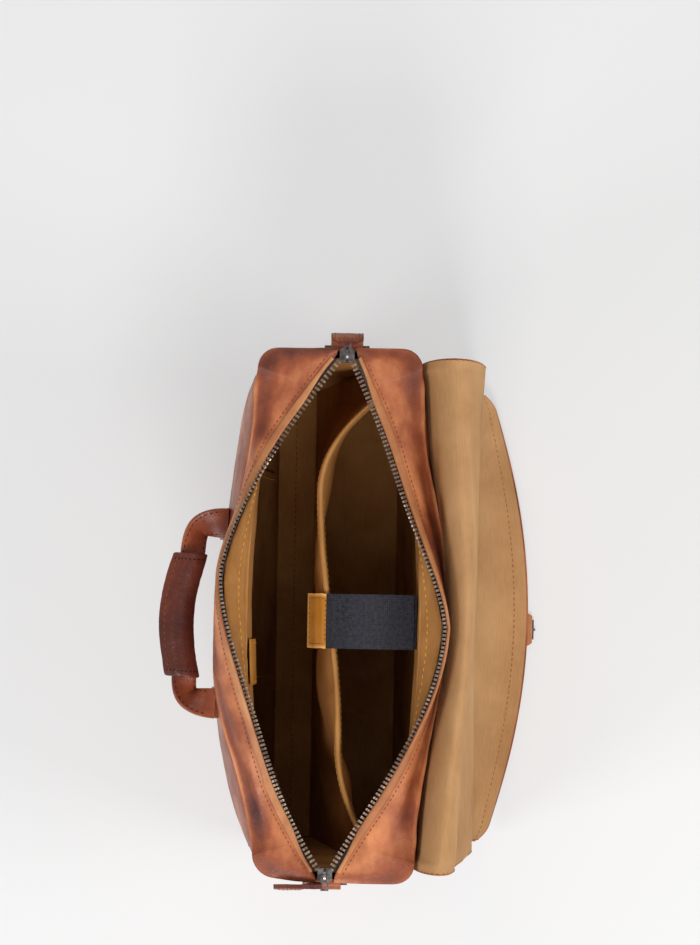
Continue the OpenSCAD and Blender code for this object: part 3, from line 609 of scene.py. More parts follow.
def slack(x, z, side):
    """Gentle hollows and folds of soft leather, in millimetres along the surface's normal."""
    broad = ripple(x / 95, z / 120, -3.1 * side) * 1.6
    fold = ripple(x / 34, z / 160, 8.0 - side) * step(90, 260, z)
    return (broad + fold) * step(4, 60, z)


def pinch(x, side):
    """How sharply the top fold is creased along the bag, in front most toward its ends."""
    share = abs(x) / SEAM_X
    ends = step(0.2, 0.5, share) if side > 0 else 0.75
    return ends * (0.9 + 0.6 * ripple(x / 50, -6.0 * side)) * (1 - step(0.9, 1.0, share)) + 0.12


def skin_tone(x, z, off, sharp, j, cols, side):
    """Painted highlight along the fold, painted shade in the dip past it, darker toward the foot, random
    mottle, painted highlight toward the zip edge and on the right end, and painted shade at the left end; off
    is the length from the fold.
    """
    top = step(FOLD - 4, FOLD + 6, j)
    # Random mottle on the top strip, with a painted highlight toward the zip edge and on the right end and
    # painted shade at the left end.
    mottle_and_painted_light = 0.10 * hump(cols - 9 - j, 0, 6.0) + 0.10 * ripple(x / 26, j / 9, 5.0 - side)
    mottle_and_painted_light += (0.05 if side > 0 else 0.22) * step(80, 170, x) - 0.05 * (1 - step(-185, -100, x))
    # Painted highlight on the crease of the fold and painted shade in the hollow just past it.
    return (0.34 * sharp * hump(off, 0, 1.8) - 0.05 * (1 - step(0, 40, z))
            - 0.24 * hump(off, 8, 8.0) * (0.6 + ripple(x / 60, -4.0 * side)) + mottle_and_painted_light * top)


def bag_skin(side):
    """One skin from the base up the wall, over the top fold and in to the zip."""
    P = np.array([[wall_point(row, v, side) for v in WALL_VS] + [strip_point(row, w, side) for w in STRIP_WS]
                  for row in ROWS[side]])
    P = smooth_grid(P, 2)
    P[:, FOLD + 2:] = smooth_grid(P[:, FOLD + 2:], 14)
    P[:, :, 1] *= side
    N = normals_of(P)
    if N[len(P) // 2, 10, 1] * side > 0:
        N = -N
    rows, cols = P.shape[:2]
    tone = np.zeros((rows, cols))
    run = np.array([run_of(line) for line in P])
    for i in range(rows):
        for j in range(cols):
            x, y, z = P[i, j]
            off = run[i, j] - run[i, FOLD]
            rim = step(0, 5, cols - 1 - j) * step(0, 6, min(i, rows - 1 - i))
            slump = step(120, 198, x) * step(5, 66, -y) * (0.25 + 0.75 * z / HEIGHT)
            sharp = pinch(x, side)
            crease = 2.0 * math.exp(-abs(off) / 1.8) - 1.5 * hump(off, -9, 5.0) - hump(off, 8, 4.5)
            P[i, j] += N[i, j] * (slack(x, z + max(0, off) * 1.6, side) * rim * 0.8 + sharp * crease)
            P[i, j] += SLUMP * slump
            tone[i, j] = skin_tone(x, z, off, sharp, j, cols, side)
    return P, N, tone


def build_skin(side):
    P, N, tone = bag_skin(side)
    name = SIDES[side]
    skin = slab(name + "_skin", P[::side], SHOWN_LEATHER, M_LEATHER, "bag", tone[::side])
    fit(skin, "body_leather", name + "_panel", name + "_top_strip", ENDS[-side] + "_gusset")
    return P, N


SKINS = {side: build_skin(side) for side in SIDES}


# ---- zip edge: turned band, and seams of the shell
# Across the band: share from its inner to its outer edge, and height over the skin.
BAND_PROFILE = [(0.0, -1.0), (-0.06, 0.1), (0.0, 0.8), (0.12, 1.15), (0.35, 1.25), (0.65, 1.2), (0.88, 1.0),
                (1.0, 0.45), (1.0, -1.0)]
BAND_WIDTH = 2.9
SEAM_OFF = 5.3


def edge_path(side, s, lap=0.0, lift=0.1):
    """Line on the skin at s from its zip edge; with lap it closes up to the teeth, save near the ends."""
    P, N = SKINS[side]
    out, normal = [], []
    for row, line, up in zip(ROWS[side], P[:, :FOLD:-1], N[:, :FOLD:-1]):
        if abs(row[0]) > 0.985:
            continue
        run = run_of(line)
        at = min(s - lap * (1 - step(0.8, 0.95, abs(row[0]))), 0.62 * run[-1])
        point = point_at(at, run, line)
        n = unit(point_at(at, run, up))
        if at < 0:
            point = point + unit(line[0] - line[2]) * -at
        out.append(point + n * lift)
        normal.append(n)
    return np.array(out), np.array(normal)


def build_zip_edge(side):
    name = SIDES[side]
    a, n = edge_path(side, 0.2, BAND_WIDTH)
    b, _ = edge_path(side, BAND_WIDTH)

    def ring(i, p):
        return [lerp(a[i], b[i], w) + n[i] * (h + 0.08 * ripple(p[0] / 9, 2 * w)) for w, h in BAND_PROFILE]

    fit(sweep(name + "_band", a, ring, M_BAND, "bag"), "edge_leather", name + "_edge_band")
    stitches(name + "_zip_stitches", "edge_leather", *edge_path(side, SEAM_OFF), M_THREAD, "bag", 2.3, 1.5,
             0.34)


def build_panel_seams(side):
    """Stitches down both upright edges of a panel and along its foot."""
    P, N = SKINS[side]
    inside = [i for i, row in enumerate(ROWS[side]) if row[2] and abs(row[1][0]) < SEAM_X - 4]
    first, last = inside[0], inside[-1]
    up = slice(2, FOLD - 8)
    for label, where in (("left_seam", (first, up)), ("right_seam", (last, up)),
                         ("foot_seam", (slice(first, last), 1))):
        stitches("%s_%s" % (SIDES[side], label), "body_leather", P[where], N[where], M_THREAD, "bag", 3.4, 1.6,
                 0.4)


for side in SIDES:
    build_zip_edge(side)
for side in SIDES:
    build_panel_seams(side)


# ---- flap: leather with a cotton lining, rolled back
FLAP_SEAM_Z = HEIGHT - 32
FLAP_RISE = 56.0
FLAP_REACH = 99.5
FLAP_SKEW = 9.0
FLAP_EASE = 1.0
CREST_FULLNESS = 19.0
SHOULDER_Z = FLAP_SEAM_Z + 4
FOLD_Z = 131.0
FOLD_Y = FLAP_REACH + 12
FLAP_LIFT = 6.6
CURL = 34.0
CURL_LEAN = 4.0
TIP_REACH = 164.0
EDGE_CURVE = 32.0
CORNER_CUT = 14.0
JOIN_Z = 200.0
UPPER_LENGTH = 182.0
LINING_INSET = 1.2
SKIN_GAP = 0.1
CURL_START = FLAP_LIFT + CURL
STRAIGHT = FOLD_Z - 1 - CURL_START
CURL_LENGTH = math.pi / 2 * CURL
# A place on the flap away from its rims, where its normals are compared.
PROBE = (55, 30)


def roll_reach(x):
    return FLAP_REACH - FLAP_SKEW * x / FLAP_HALF


def roll_point(x, t):
    """From the flap's seam on the back wall up over the crest and down to its shoulder."""
    y = wall_y_at(min(SEAM_X, abs(x)), FLAP_SEAM_Z, -1) + LINING + 2 * SEAT + SKIN_GAP
    top = FLAP_SEAM_Z + FLAP_RISE * 1.24
    reach = roll_reach(x)
    return bezier([[y - 2.2, FLAP_SEAM_Z - 2], [y + FLAP_EASE, top],
                   [lerp(y, reach, 0.4) + CREST_FULLNESS, top + 8], [reach, SHOULDER_Z]], t)


def drop_point(x, z):
    return np.array([lerp(roll_reach(x), FOLD_Y, (SHOULDER_Z - z) / (SHOULDER_Z - FOLD_Z)), z])


def front_point(s):
    """The lower flap at length s from the fold: it hangs straight, then curls out along the ground."""
    if s <= STRAIGHT:
        return np.array([FOLD_Y + CURL_LEAN * s / STRAIGHT, FOLD_Z - 1 - s])
    a = min(math.pi / 2, (s - STRAIGHT) / CURL)
    flat = max(0.0, s - STRAIGHT - CURL_LENGTH)
    return np.array([FOLD_Y + CURL_LEAN + CURL * (1 - math.cos(a)) + flat, CURL_START - CURL * math.sin(a)])


def front_length(x):
    """Length of the lower flap, shorter toward its ends and round at its corners."""
    past = max(0.0, abs(x) - FLAP_HALF + CORNER_CUT) / CORNER_CUT
    return (STRAIGHT + CURL_LENGTH + TIP_REACH - FOLD_Y - CURL_LEAN - CURL
            - EDGE_CURVE * 1.1 * (x / FLAP_HALF) ** 2 - CORNER_CUT * (1 - math.sqrt(max(0.0, 1 - past ** 2))))


def flap_wave(x, s):
    """Slow swells of the hanging flap; s is the length from its seam."""
    return 1.1 * ripple(x / 120, s / 150, 21.0) + 0.25 * ripple(x / 40, s / 55, 5.0)


def flap_tone(x, s):
    """A painted highlight on the crest, a paler band past it, painted shade tinged with the bag's reflected
    brown before it on the left near the flap's root, and a darker tip.
    """
    # Painted shade on the left, up the roll from the flap's root beside the bag.
    painted_shade = hump(x, -85, 55.0) * (0.8 + 0.5 * ripple(x / 22, s / 12))
    return (0.10 * hump(s, 72, 5.0) * (0.6 + 0.8 * ripple(x / 60, 0.3))
            - 0.42 * hump(s, 33, 9.0) * max(0.0, painted_shade)
            + 0.08 * hump(s, 92, 14.0) - 0.05 * step(300, 400, s) * (0.5 + 0.5 * ripple(x / 30, s / 30)))


def flap_grid(lower):
    xs = closer_at_ends(FLAP_HALF, 110)
    P = []
    for x in xs:
        if lower:
            line = [drop_point(x, z) for z in np.linspace(JOIN_Z, FOLD_Z, 12)[:-1]]
            line += [front_point(s) for s in np.linspace(0, 1, 54) * front_length(x)]
        else:
            line = [roll_point(x, t) for t in np.linspace(0, 1, 52)[:-1]]
            line += [drop_point(x, z) for z in np.linspace(SHOULDER_Z, JOIN_Z, 14)]
        P.append([[x, p[0], p[1]] for p in line])
    P = np.array(P)
    N = normals_of(P)
    if N[PROBE][1:].sum() < 0:
        N = -N
    tone = np.zeros(P.shape[:2])
    for i, x in enumerate(xs):
        for j, s in enumerate(run_of(P[i]) + (UPPER_LENGTH if lower else 0)):
            P[i, j] += N[i, j] * flap_wave(x, s) * step(0, 60, s) * step(2, 40, P[i, j, 2])
            tone[i, j] = flap_tone(x, s)
    return P, N, tone


def build_flap(lower):
    P, N, tone = flap_grid(lower)
    name = "flap_lower" if lower else "flap_upper"
    nodes = ["flap_front"] if lower else ["flap_riser", "flap_top"]

    def bend(piece):
        if lower:
            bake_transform(piece)
        else:
            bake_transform(piece)

    Q = P + N * (SKIN_GAP + LINING)
    R = Q.copy()
    R[:, :, 0] *= 1 - LINING_INSET / FLAP_HALF
    if lower:
        R[:, -1] = lerp(R[:, -1], R[:, -2], 0.5)
    turn = -1 if (normals_of(P)[PROBE] * N[PROBE]).sum() < 0 else 1
    hide = slab(name + "_leather", P[::turn], LEATHER - 0.2, M_LEATHER, None, tone[::turn])
    fit(hide, "body_leather", *nodes)
    inner = slab(name + "_lining", R[::turn], LINING, M_FLAP_CLOTH, None, tone[::turn])
    fit(inner, "flap_cloth", *(node + "_lining" for node in nodes))
    bend(hide)
    bend(inner)
    for k, i in enumerate((4, -5)):
        bend(stitches("%s_side_stitches_%d" % (name, k), "flap_cloth", Q[i, 6:], N[i, 6:], M_THREAD_CLOTH,
                      None))
    if lower:
        stitches("flap_edge_stitches", "flap_cloth", Q[3:-3, -5], N[3:-3, -5], M_THREAD_CLOTH, "flap_lower")


for lower in (False, True):
    build_flap(lower)


# ---- handle
HANDLE_Z = HEIGHT - 44
SPAN = 137.0
STRAP_WIDTH = 23.0
STRAP_THICK = 3.4
GRIP_LENGTH = 94.0
GRIP_R = 9.5
GRIP_SHIFT = 3.0
ANCHOR_LEATHER = 2.4
STRAP_INNER = (SPAN - STRAP_WIDTH) / 2
STRAP_WALLS = [wall_y_at(end * STRAP_INNER, HANDLE_Z, 1) for end in ENDS]
ROOT_Y = sum(STRAP_WALLS) / 2 + 2 * SEAT + ANCHOR_LEATHER + RUN
LEAN = math.atan((STRAP_WALLS[1] - STRAP_WALLS[0]) / (2 * STRAP_INNER))
GRIP_Y = ROOT_Y + 20.5
GRIP_ARC = 7.6
GRIP_SINK = 2.0
SEAM_ANGLE = math.radians(150)
# Half of a strap's section, from one edge to the other, as shares of its half width and half thickness.
STRAP_HALF = [(-1, -0.5), (-0.97, -0.9), (-0.9, -1), (-0.45, -1), (0, -1), (0.45, -1), (0.9, -1), (0.97, -0.9),
              (1, -0.5)]
STRAP_SECTION = STRAP_HALF + [(-a, -b) for a, b in STRAP_HALF]


def leaning(p):
    """Turns a point of the handle about the middle of its roots, as the panel leans."""
    c, s = math.cos(LEAN), math.sin(LEAN)
    return np.array([c * p[0] + s * (p[1] + ROOT_Y), -s * p[0] + c * (p[1] + ROOT_Y) - ROOT_Y, p[2]])


def grip_center(t):
    s = bow(t)
    return np.array([GRIP_SHIFT + lerp(-GRIP_LENGTH / 2, GRIP_LENGTH / 2, t), -(GRIP_Y + GRIP_ARC * s),
                     HANDLE_Z - GRIP_SINK * (1 + s)])


def grip_point(t, r, a):
    """A place at angle a around the grip, whose outer side is drawn out into the sewn lip."""
    lip = max(0.0, -math.cos(a))
    return grip_center(t) + np.array([0, r * (1 + 0.4 * lip ** 6) * math.cos(a) * 1.16,
                                      r * math.sin(a) * 0.86 * (1 - 0.5 * lip ** 4)])


def grip_ring(t, r, sides=44):
    return [grip_point(t, r, math.pi * 2 * k / sides) for k in range(sides)]


def grip_end_seams():
    """Sewn lines across the wrap, near both of its ends."""
    for k, t in enumerate((0.05, 0.95)):
        middle = leaning(grip_center(t))
        line = [leaning(p) for p in grip_ring(t, GRIP_R + 0.25, 60)]
        line = sorted((p for p in line if p[2] > middle[2] + 1.5), key=lambda p: p[1])
        stitches("grip_end_stitches_%d" % k, "grip_leather", line, [unit(p - middle) for p in line],
                 M_THREAD_DARK, "handle", 2.2, 1.0, 0.34)


def build_grip():
    ts = np.concatenate([[0, 0.004, 0.012], np.linspace(0.03, 0.97, 60), [0.988, 0.996, 1]])

    def ring(_, t):
        r = GRIP_R * (1 - 0.10 * max(0.0, 1 - min(t, 1 - t) / 0.012) ** 2)
        crush = 0.25 * ripple(t * 9, 0.5, 2.0)
        return [leaning(p + unit(p - grip_center(t)) * (crush + 0.16 * ripple(t * 26, k / 5, 4.0)))
                for k, p in enumerate(grip_ring(t, r))]

    tone = [0.05 * hump(min(t, 1 - t), 0, 0.03) for t in ts]
    grip = fit(sweep("grip_wrap", ts, ring, M_GRIP, "handle", tone=tone), "grip_leather", "handle_grip",
               "handle_core")
    path = [leaning(grip_point(t, GRIP_R, SEAM_ANGLE)) for t in np.linspace(0.02, 0.98, 60)]
    stitches("grip_stitches_0", "grip_leather", path, [unit([0, -0.35, 1])] * len(path), M_THREAD, "handle",
             3.4, 1.4, 0.4)


def strap_route(t, end):
    """Middle of a strap, from its root inside the anchor to its end inside the grip."""
    inner = GRIP_LENGTH / 2 - 6 + end * GRIP_SHIFT
    p = bezier([[SPAN / 2, -ROOT_Y + 4], [SPAN / 2, -GRIP_Y + 1], [SPAN / 2 - 2, -GRIP_Y - 1],
                [inner, -GRIP_Y - 1]], t)
    return np.array([p[0], p[1], HANDLE_Z - 1 - 7 * bow(t) * t - GRIP_SINK * t])


def build_handle_strap(end):
    ts = np.linspace(0, 1, 40)

    def ring(_, t):
        here = strap_route(t, end)
        ahead = strap_route(t + 0.02, end) - strap_route(t - 0.02, end)
        flat = unit([ahead[0], ahead[1], 0])
        lean = math.radians(40) * bow(t)
        across = np.array([-flat[1] * math.cos(lean), flat[0] * math.cos(lean), math.sin(lean)])
        thick = unit(np.cross(ahead, across))
        w, h = STRAP_WIDTH / 2 * (1 - 0.2 * t), STRAP_THICK / 2
        points = (here + across * w * a + thick * h * b for a, b in STRAP_SECTION)
        return [leaning([end * p[0], p[1], p[2]]) for p in points]

    name = "handle_strap_" + ENDS[end]
    tone = [0.12 * ripple(t * 4, 3.0 * end) + 0.1 * bow(t) for t in ts]
    strap = fit(sweep(name, ts, ring, M_STRAP, "handle", tone=tone), "body_leather")
    rings = np.array([ring(0, t) for t in ts])
    top, bottom = rings[:, 13], rings[:, 4]
    up = [unit(n) for n in top - bottom]
    for k, a in enumerate((14, 12)):
        line = lerp(top, rings[:, a], 1.75)
        stitches("%s_stitches_%d" % (name, k), "body_leather", line[4:-2], up[4:-2], M_THREAD_DARK, "handle",
                 2.8, 1.3, 0.32)
    return strap


grip_end_seams()
build_grip()
straps = [build_handle_strap(end) for end in ENDS]
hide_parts("handle_straps")


# ---- inside: facings, lining, pocket
FACING_LAP = 3.0
CLOTH = 0.9
PATCH_LEATHER = 1.3
# Where the pocket and the patch lie on the front lining, as shares of its length and height.
POCKET_US, POCKET_VS = np.linspace(-0.62, 0.3, 70), np.linspace(0.12, 0.72, 40)
PATCH_US, PATCH_VS = np.linspace(0.1, 0.28, 30), np.linspace(0.84, 0.985, 24)


def facing_foot_q(u, side):
    return lerp(FLOOR_REACH - 4, FACING_REACH + (4 if side > 0 else 0), arch(u) ** 0.8)


def facing_foot_z(u):
    return HEIGHT - 22 + 18 * arch(u) ** 2


def facing_point(u, w, side):
    """A place on the cloth band that hangs from the zip tape, 0 at the tape and 1 at its foot."""
    top = zip_point(u, TOOTH_REACH / 2 + FACING_LAP, -LEATHER - 8 * SEAT - TAPE - LINING, side)
    foot = np.array([u * ZIP_X, -facing_foot_q(u, side) + LINING, facing_foot_z(u) + SEAT - LINING])
    return lerp(top, foot, w) + np.array([0, 0.5 * ripple(u * 16, w * 2, -side), -2 * bow(w)])


def lining_point(u, v, n, side):
    """A place on a wall's lining, 0 at the floor and 1 at the facing; n is how far out of the bag it lies."""
    foot_u = u * LINING_X / ZIP_X
    billowed = (14 if side > 0 else 7) * bow(min(1.0, v / 0.86)) * arch(u) ** 0.5
    return np.array([u * LINING_X, -(lerp(FLOOR_REACH, facing_foot_q(foot_u, side), v ** 1.2) + billowed + n),
                     lerp(FLOOR_Z, facing_foot_z(foot_u) - LINING, v)])


def build_facing(side):
    name = SIDES[side] + "_facing_cloth"
    us, ws = closer_at_ends(0.955, 120), np.linspace(0, 1, 16)
    P = facing(grid(lambda u, w: facing_point(u, w, side), us, ws) * [1, side, 1], 0, side, 0)
    # Tone down the band: paler at its foot, painted shade at its top where it tucks under the zip tape, and a
    # darker line just above its foot.
    tone = np.array([[0.16 * hump(w, 0.98, 0.05) - 0.10 * hump(w, 0, 0.12) - 0.12 * hump(w, 0.9, 0.04)
                      for w in ws]] * len(us))
    piece = fit(slab(name, P, CLOTH, M_LINING, "bag", tone), "lining_cloth", SIDES[side] + "_facing")
    stitches(name + "_stitches", "lining_cloth", P[4:-4, 9], normals_of(P)[4:-4, 9], M_THREAD_TAN, "bag",
             3.2, 2.2, 0.5)


def wall_cloth(name, node, side, us, vs, off, wrinkle, thick=CLOTH, material=M_LINING, slot="lining_cloth"):
    """A piece of cloth that lies on a wall's lining surface, over the given shares of its length and height."""
    P = facing(grid(lambda u, v: lining_point(u, v, off, side), us, vs) * [1, side, 1], 0, side, 0)
    N = normals_of(P)
    for i in range(len(us)):
        for j in range(len(vs)):
            P[i, j] += N[i, j] * wrinkle(P[i, j, 0], P[i, j, 2]) * step(0, 4, rim_distance(i, j, P))
    return fit(slab(name, P, thick, material, "bag"), slot, node), P, normals_of(P)


def wall_folds(x, z):
    """The lining hangs a little loose, in folds that run down the wall."""
    return 0.7 + 0.7 * ripple(x / 42, z / 150, 31.0) + 0.3 * ripple(x / 16, z / 60, 12.0)


def build_lining():
    for side, name in SIDES.items():
        piece, P, N = wall_cloth(name + "_lining_cloth", name + "_lining", side, np.linspace(-1, 1, 130),
                                 np.linspace(0, 1, 60), 0.4, wall_folds)
    pocket, P, N = wall_cloth("slip_pocket_cloth", "slip_pocket", 1, POCKET_US, POCKET_VS, -1.6,
                              lambda x, z: 0.5 * ripple(x / 40, z / 90, 3.0))
    for label, row in (("left", 2), ("right", -3)):
        stitches("pocket_stitches_" + label, "lining_cloth", P[row], N[row], M_THREAD_TAN, "bag")
    _, P, N = wall_cloth("leather_patch_piece", "leather_patch", 1, PATCH_US, PATCH_VS, -3.6,
                         lambda x, z: 0.1 * ripple(x / 12, z / 12, 3.0), PATCH_LEATHER, M_MUSTARD,
                         "mustard_leather")
    stitches("patch_stitches", "mustard_leather", border(P, 2), border(N, 2), M_THREAD_TAN, "bag", 2.4, 1.2,
             0.3)


for side in SIDES:
    build_facing(side)
build_lining()


# ---- divider with its bound top edge
DIVIDER_THICK = 5.0
DIVIDER_TOP = HEIGHT - 30
DIVIDER_FOOT = -17.0
EDGE_R = DIVIDER_THICK / 2 + 0.7
EDGE_Z = DIVIDER_TOP + SEAT + EDGE_R


def divider_top_y(u):
    end = (34 if u < 0 else 15) * (max(0.0, abs(u) - 0.5) / 0.33) ** 2
    return min(FLOOR_REACH - 12, -5 + 8 * math.sin(math.pi / 2 * max(-1.0, min(1.0, u / 0.5))) + end)


def billow(x, v):
    """The loose cloth swells to the front past the middle and to the back toward both ends."""
    hang = bow(v ** 4) ** 0.8 if 0 < v < 1 else 0.0
    return hang * (9 * hump(x, 125, 24) + 7 * hump(x, -105, 34) - 8 * hump(x, 45, 45) - 4 * hump(x, -30, 30))


def build_divider():
    half = DIVIDER_THICK / 2

    def pad_point(u, v):
        loose = bow(v) * (1 - abs(u) ** 6)
        y = lerp(DIVIDER_FOOT, divider_top_y(u), v ** 1.2) - half + billow(u * LINING_X, v)
        y += loose * (2.2 * ripple(u * 4.2, v * 2.2, 17.0) + 0.8 * ripple(u * 11, v * 6, 2.0))
        return u * (LINING_X - 1), y, lerp(FLOOR_Z + SEAT, DIVIDER_TOP, v)

    P = facing(grid(pad_point, np.linspace(-1, 1, 130), np.linspace(0, 1, 60)), 0, -1, 0)
    pad = fit(slab("divider_pad", P, DIVIDER_THICK - 0.8, M_LINING, "bag", angle=50), "lining_cloth", "divider")

    path = [np.array([u * (LINING_X - 1), divider_top_y(u), EDGE_Z]) for u in np.linspace(-0.995, 0.995, 150)]

    def ring(_, p):
        out = []
        for a in np.linspace(0, 2 * math.pi, 20, endpoint=False):
            squash = 0.92 + 0.08 * ripple(p[0] / 14, a / 2, 4.0)
            out.append(p + np.array([0, math.cos(a) * EDGE_R * squash * 0.72, math.sin(a) * EDGE_R * squash]))
        return out

    binding = sweep("divider_binding", path, ring, M_LINING, "bag", angle=60,
                    tone=[0.06 + 0.03 * ripple(p[0] / 30, 0.0) for p in path])
    fit(binding, "lining_cloth", "divider_edge")
    for k, sign in enumerate((-1, 1)):
        line = [p + np.array([0, sign * (half + 0.12), -EDGE_R - 2.6]) for p in path[3:-3]]
        stitches("divider_stitches_%d" % k, "lining_cloth", line, [[0, sign, 0]] * len(line), M_THREAD_TAN,
                 "bag", 3.0, 1.6, 0.3)


build_divider()


# ---- laptop strap: webbing with a leather end
STRAP_X = 4.5
WEB_WIDTH = 41.0
WEB = 1.8
STRAP_ROOT_Z = HEIGHT - 22
ROOT_SHARE = (STRAP_ROOT_Z - 16 - FLOOR_Z) / (facing_foot_z(0) - LINING - FLOOR_Z)
STRAP_ROOT_Y = lerp(FLOOR_REACH, FACING_REACH, ROOT_SHARE ** 1.2) - SEAT
STRAP_END_Y = divider_top_y(0) - EDGE_R + 1
STRAP_REST_Z = EDGE_Z + EDGE_R + RUN
HINGE_GAP = 2.4
STRAP_TAB_THICK = 2.0
# The tab's outer face from the webbing's end over the divider's edge and down: steps in y and z.
TAB_BEND = [(0, WEB + 0.8), (-1.2, WEB + 0.75), (-3.2, WEB + 0.1), (-5.4, WEB - 2.0), (-8, WEB - 5.0),
            (-11, -9.2), (-14, -13.2)]


def web_point(x, t):
    selvedge = 0.25 * step(0.85, 1.0, abs(x) / (WEB_WIDTH / 2))
    return (STRAP_X + x, lerp(STRAP_ROOT_Y - HINGE_GAP, STRAP_END_Y, t),
            lerp(STRAP_ROOT_Z, STRAP_REST_Z, t) + 7 * bow(t) + WEB - selvedge)


def build_inner_strap():
    ts, xs = np.linspace(0, 1, 50), np.linspace(-WEB_WIDTH / 2, WEB_WIDTH / 2, 22)
    P = facing(grid(web_point, xs, ts), 0, 0, 1)
    tone = np.array([[0.10 * hump(t, 0.45, 0.3) for t in ts]] * len(xs))
    web = slab("webbing_strap", P, WEB - 0.3, M_WEBBING, "inner_strap", tone, angle=50)
    fit(web, "webbing", "laptop_strap")

    bend = np.array(TAB_BEND) + [STRAP_END_Y - SEAT, STRAP_REST_Z]
    fine = [lerp(a, b, t) for a, b in zip(bend[:-1], bend[1:]) for t in np.linspace(0, 1, 5)[:-1]] + [bend[-1]]
    xs = np.linspace(-WEB_WIDTH / 2, WEB_WIDTH / 2, 26)
    P = facing(smooth_grid(grid(lambda x, q: (STRAP_X + x, *q), xs, fine), 3), 0, 0, 1)
    N = normals_of(P)
    rows, cols = P.shape[:2]
    tone = grid(lambda i, j: 0.5 * hump(min(i, rows - 1 - i, cols - 1 - j), 0, 0.9), range(rows), range(cols))
    P[:, :, 0] += np.array([[0.5 * ripple(y / 5, 2.0) for y in row] for row in P[:, :, 1]])
    tab = slab("strap_tab_leather", P, STRAP_TAB_THICK, M_MUSTARD, "inner_strap", tone, angle=50)
    fit(tab, "mustard_leather", "strap_tab")
    stitches("strap_tab_stitches", "mustard_leather", border(P, 2), border(N, 2), M_THREAD, "inner_strap",
             2.4, 1.2, 0.34)


build_inner_strap()


# ---- small leather and cloth parts with turned edges
EDGE_ANGLE = math.radians(28)
WOBBLE = 0.08
END_CLOTH = 0.8
END_CLOTH_TOP = HEIGHT - 5
FLOOR_SEAM_Y = -36.0
FLOOR_SEAM_HALF = 180.0
TAB_THICK = 3.2
# Where each pull tab starts, how long it is, and what the right one does past its start.
TAB_ROOT = {-1: np.array([-202.0, 5.0, 296.4]), 1: np.array([201.9, -7.6, 291.6])}
TAB_LENGTH = {-1: 33, 1: 35}
TAB_SHIFT = 1.8
TAB_LEAN = math.radians(9)
TAB_DROP = 2.0


def soften(node, width, material, body, slot):
    """The part's own shape with its sharp edges rounded over, as pressed leather or cut cloth has them."""
    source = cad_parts[node]
    shape = bmesh.new()
    shape.from_mesh(source.data)
    shape.transform(source.matrix_world)
    bmesh.ops.remove_doubles(shape, verts=shape.verts, dist=2e-6)
    bmesh.ops.dissolve_limit(shape, angle_limit=math.radians(1.5), verts=shape.verts, edges=shape.edges)
    sharp = [e for e in shape.edges if len(e.link_faces) == 2 and e.calc_face_angle(0) > EDGE_ANGLE]
    bmesh.ops.bevel(shape, geom=sharp, offset=width * MM, segments=3, profile=0.55, affect="EDGES",
                    clamp_overlap=True)
    bmesh.ops.triangulate(shape, faces=[f for f in shape.faces if len(f.verts) > 4])
    layer = shape.loops.layers.uv.new("UVMap")
    for face in shape.faces:
        flat = [k for k in range(3) if k != max(range(3), key=lambda k: abs(face.normal[k]))]
        for corner in face.loops:
            corner[layer].uv = (corner.vert.co[flat[0]], corner.vert.co[flat[1]])
    shape.normal_update()
    for vert in shape.verts:
        vert.co += vert.normal * WOBBLE * MM * ripple(*(c / MM / 9 for c in vert.co))
    mesh = bpy.data.meshes.new(node + "_piece")
    shape.to_mesh(mesh)
    shape.free()
    fit(finish_mesh(add_object(node + "_piece", mesh), material, body, 60), slot, node)


def end_cloth(end):
    """Lining of a short end, hung with a few soft folds."""
    def depth(y, z):
        rim = step(0, 12, min(z - FLOOR_Z, END_CLOTH_TOP - z, FLOOR_REACH - abs(y)))
        return LINING_X + 0.2 - (1.0 + 0.8 * ripple(y / 26, z / 90, 7.0 * end)) * 1.2 * rim

    ys, zs = np.linspace(-FLOOR_REACH, FLOOR_REACH, 50), np.linspace(FLOOR_Z, END_CLOTH_TOP, 80)
    P = facing(grid(lambda y, z: (end * depth(y, z), y, z), ys, zs), -end, 0, 0)
    name = ENDS[end]
    piece = fit(slab(name + "_lining_cloth", P, END_CLOTH, M_LINING, "bag"), "lining_cloth", name + "_lining")


def floor_cloth():
    """Lining of the floor, laid on the base board, with the seam that joins its two parts."""
    xs = np.linspace(-LINING_X + 0.8, LINING_X - 0.8, 150)
    ys = np.linspace(-FLOOR_REACH - 2, FLOOR_REACH + 2, 60)
    P = facing(grid(lambda x, y: (x, y, FLOOR_Z + 0.5 * (0.5 + ripple(x / 40, y / 30, 3.0))
                                  * step(0, 10, LINING_X - abs(x))), xs, ys), 0, 0, 1)
    piece = fit(slab("floor_lining_cloth", P, CLOTH, M_LINING, "bag"), "lining_cloth", "floor_lining")
    line = [[x, FLOOR_SEAM_Y, FLOOR_Z + 0.8] for x in np.linspace(-FLOOR_SEAM_HALF, FLOOR_SEAM_HALF, 60)]
    stitches("floor_seam", "lining_cloth", line, [[0, 0, 1]] * len(line), M_THREAD, "bag", 3.0, 2.0, 0.36)


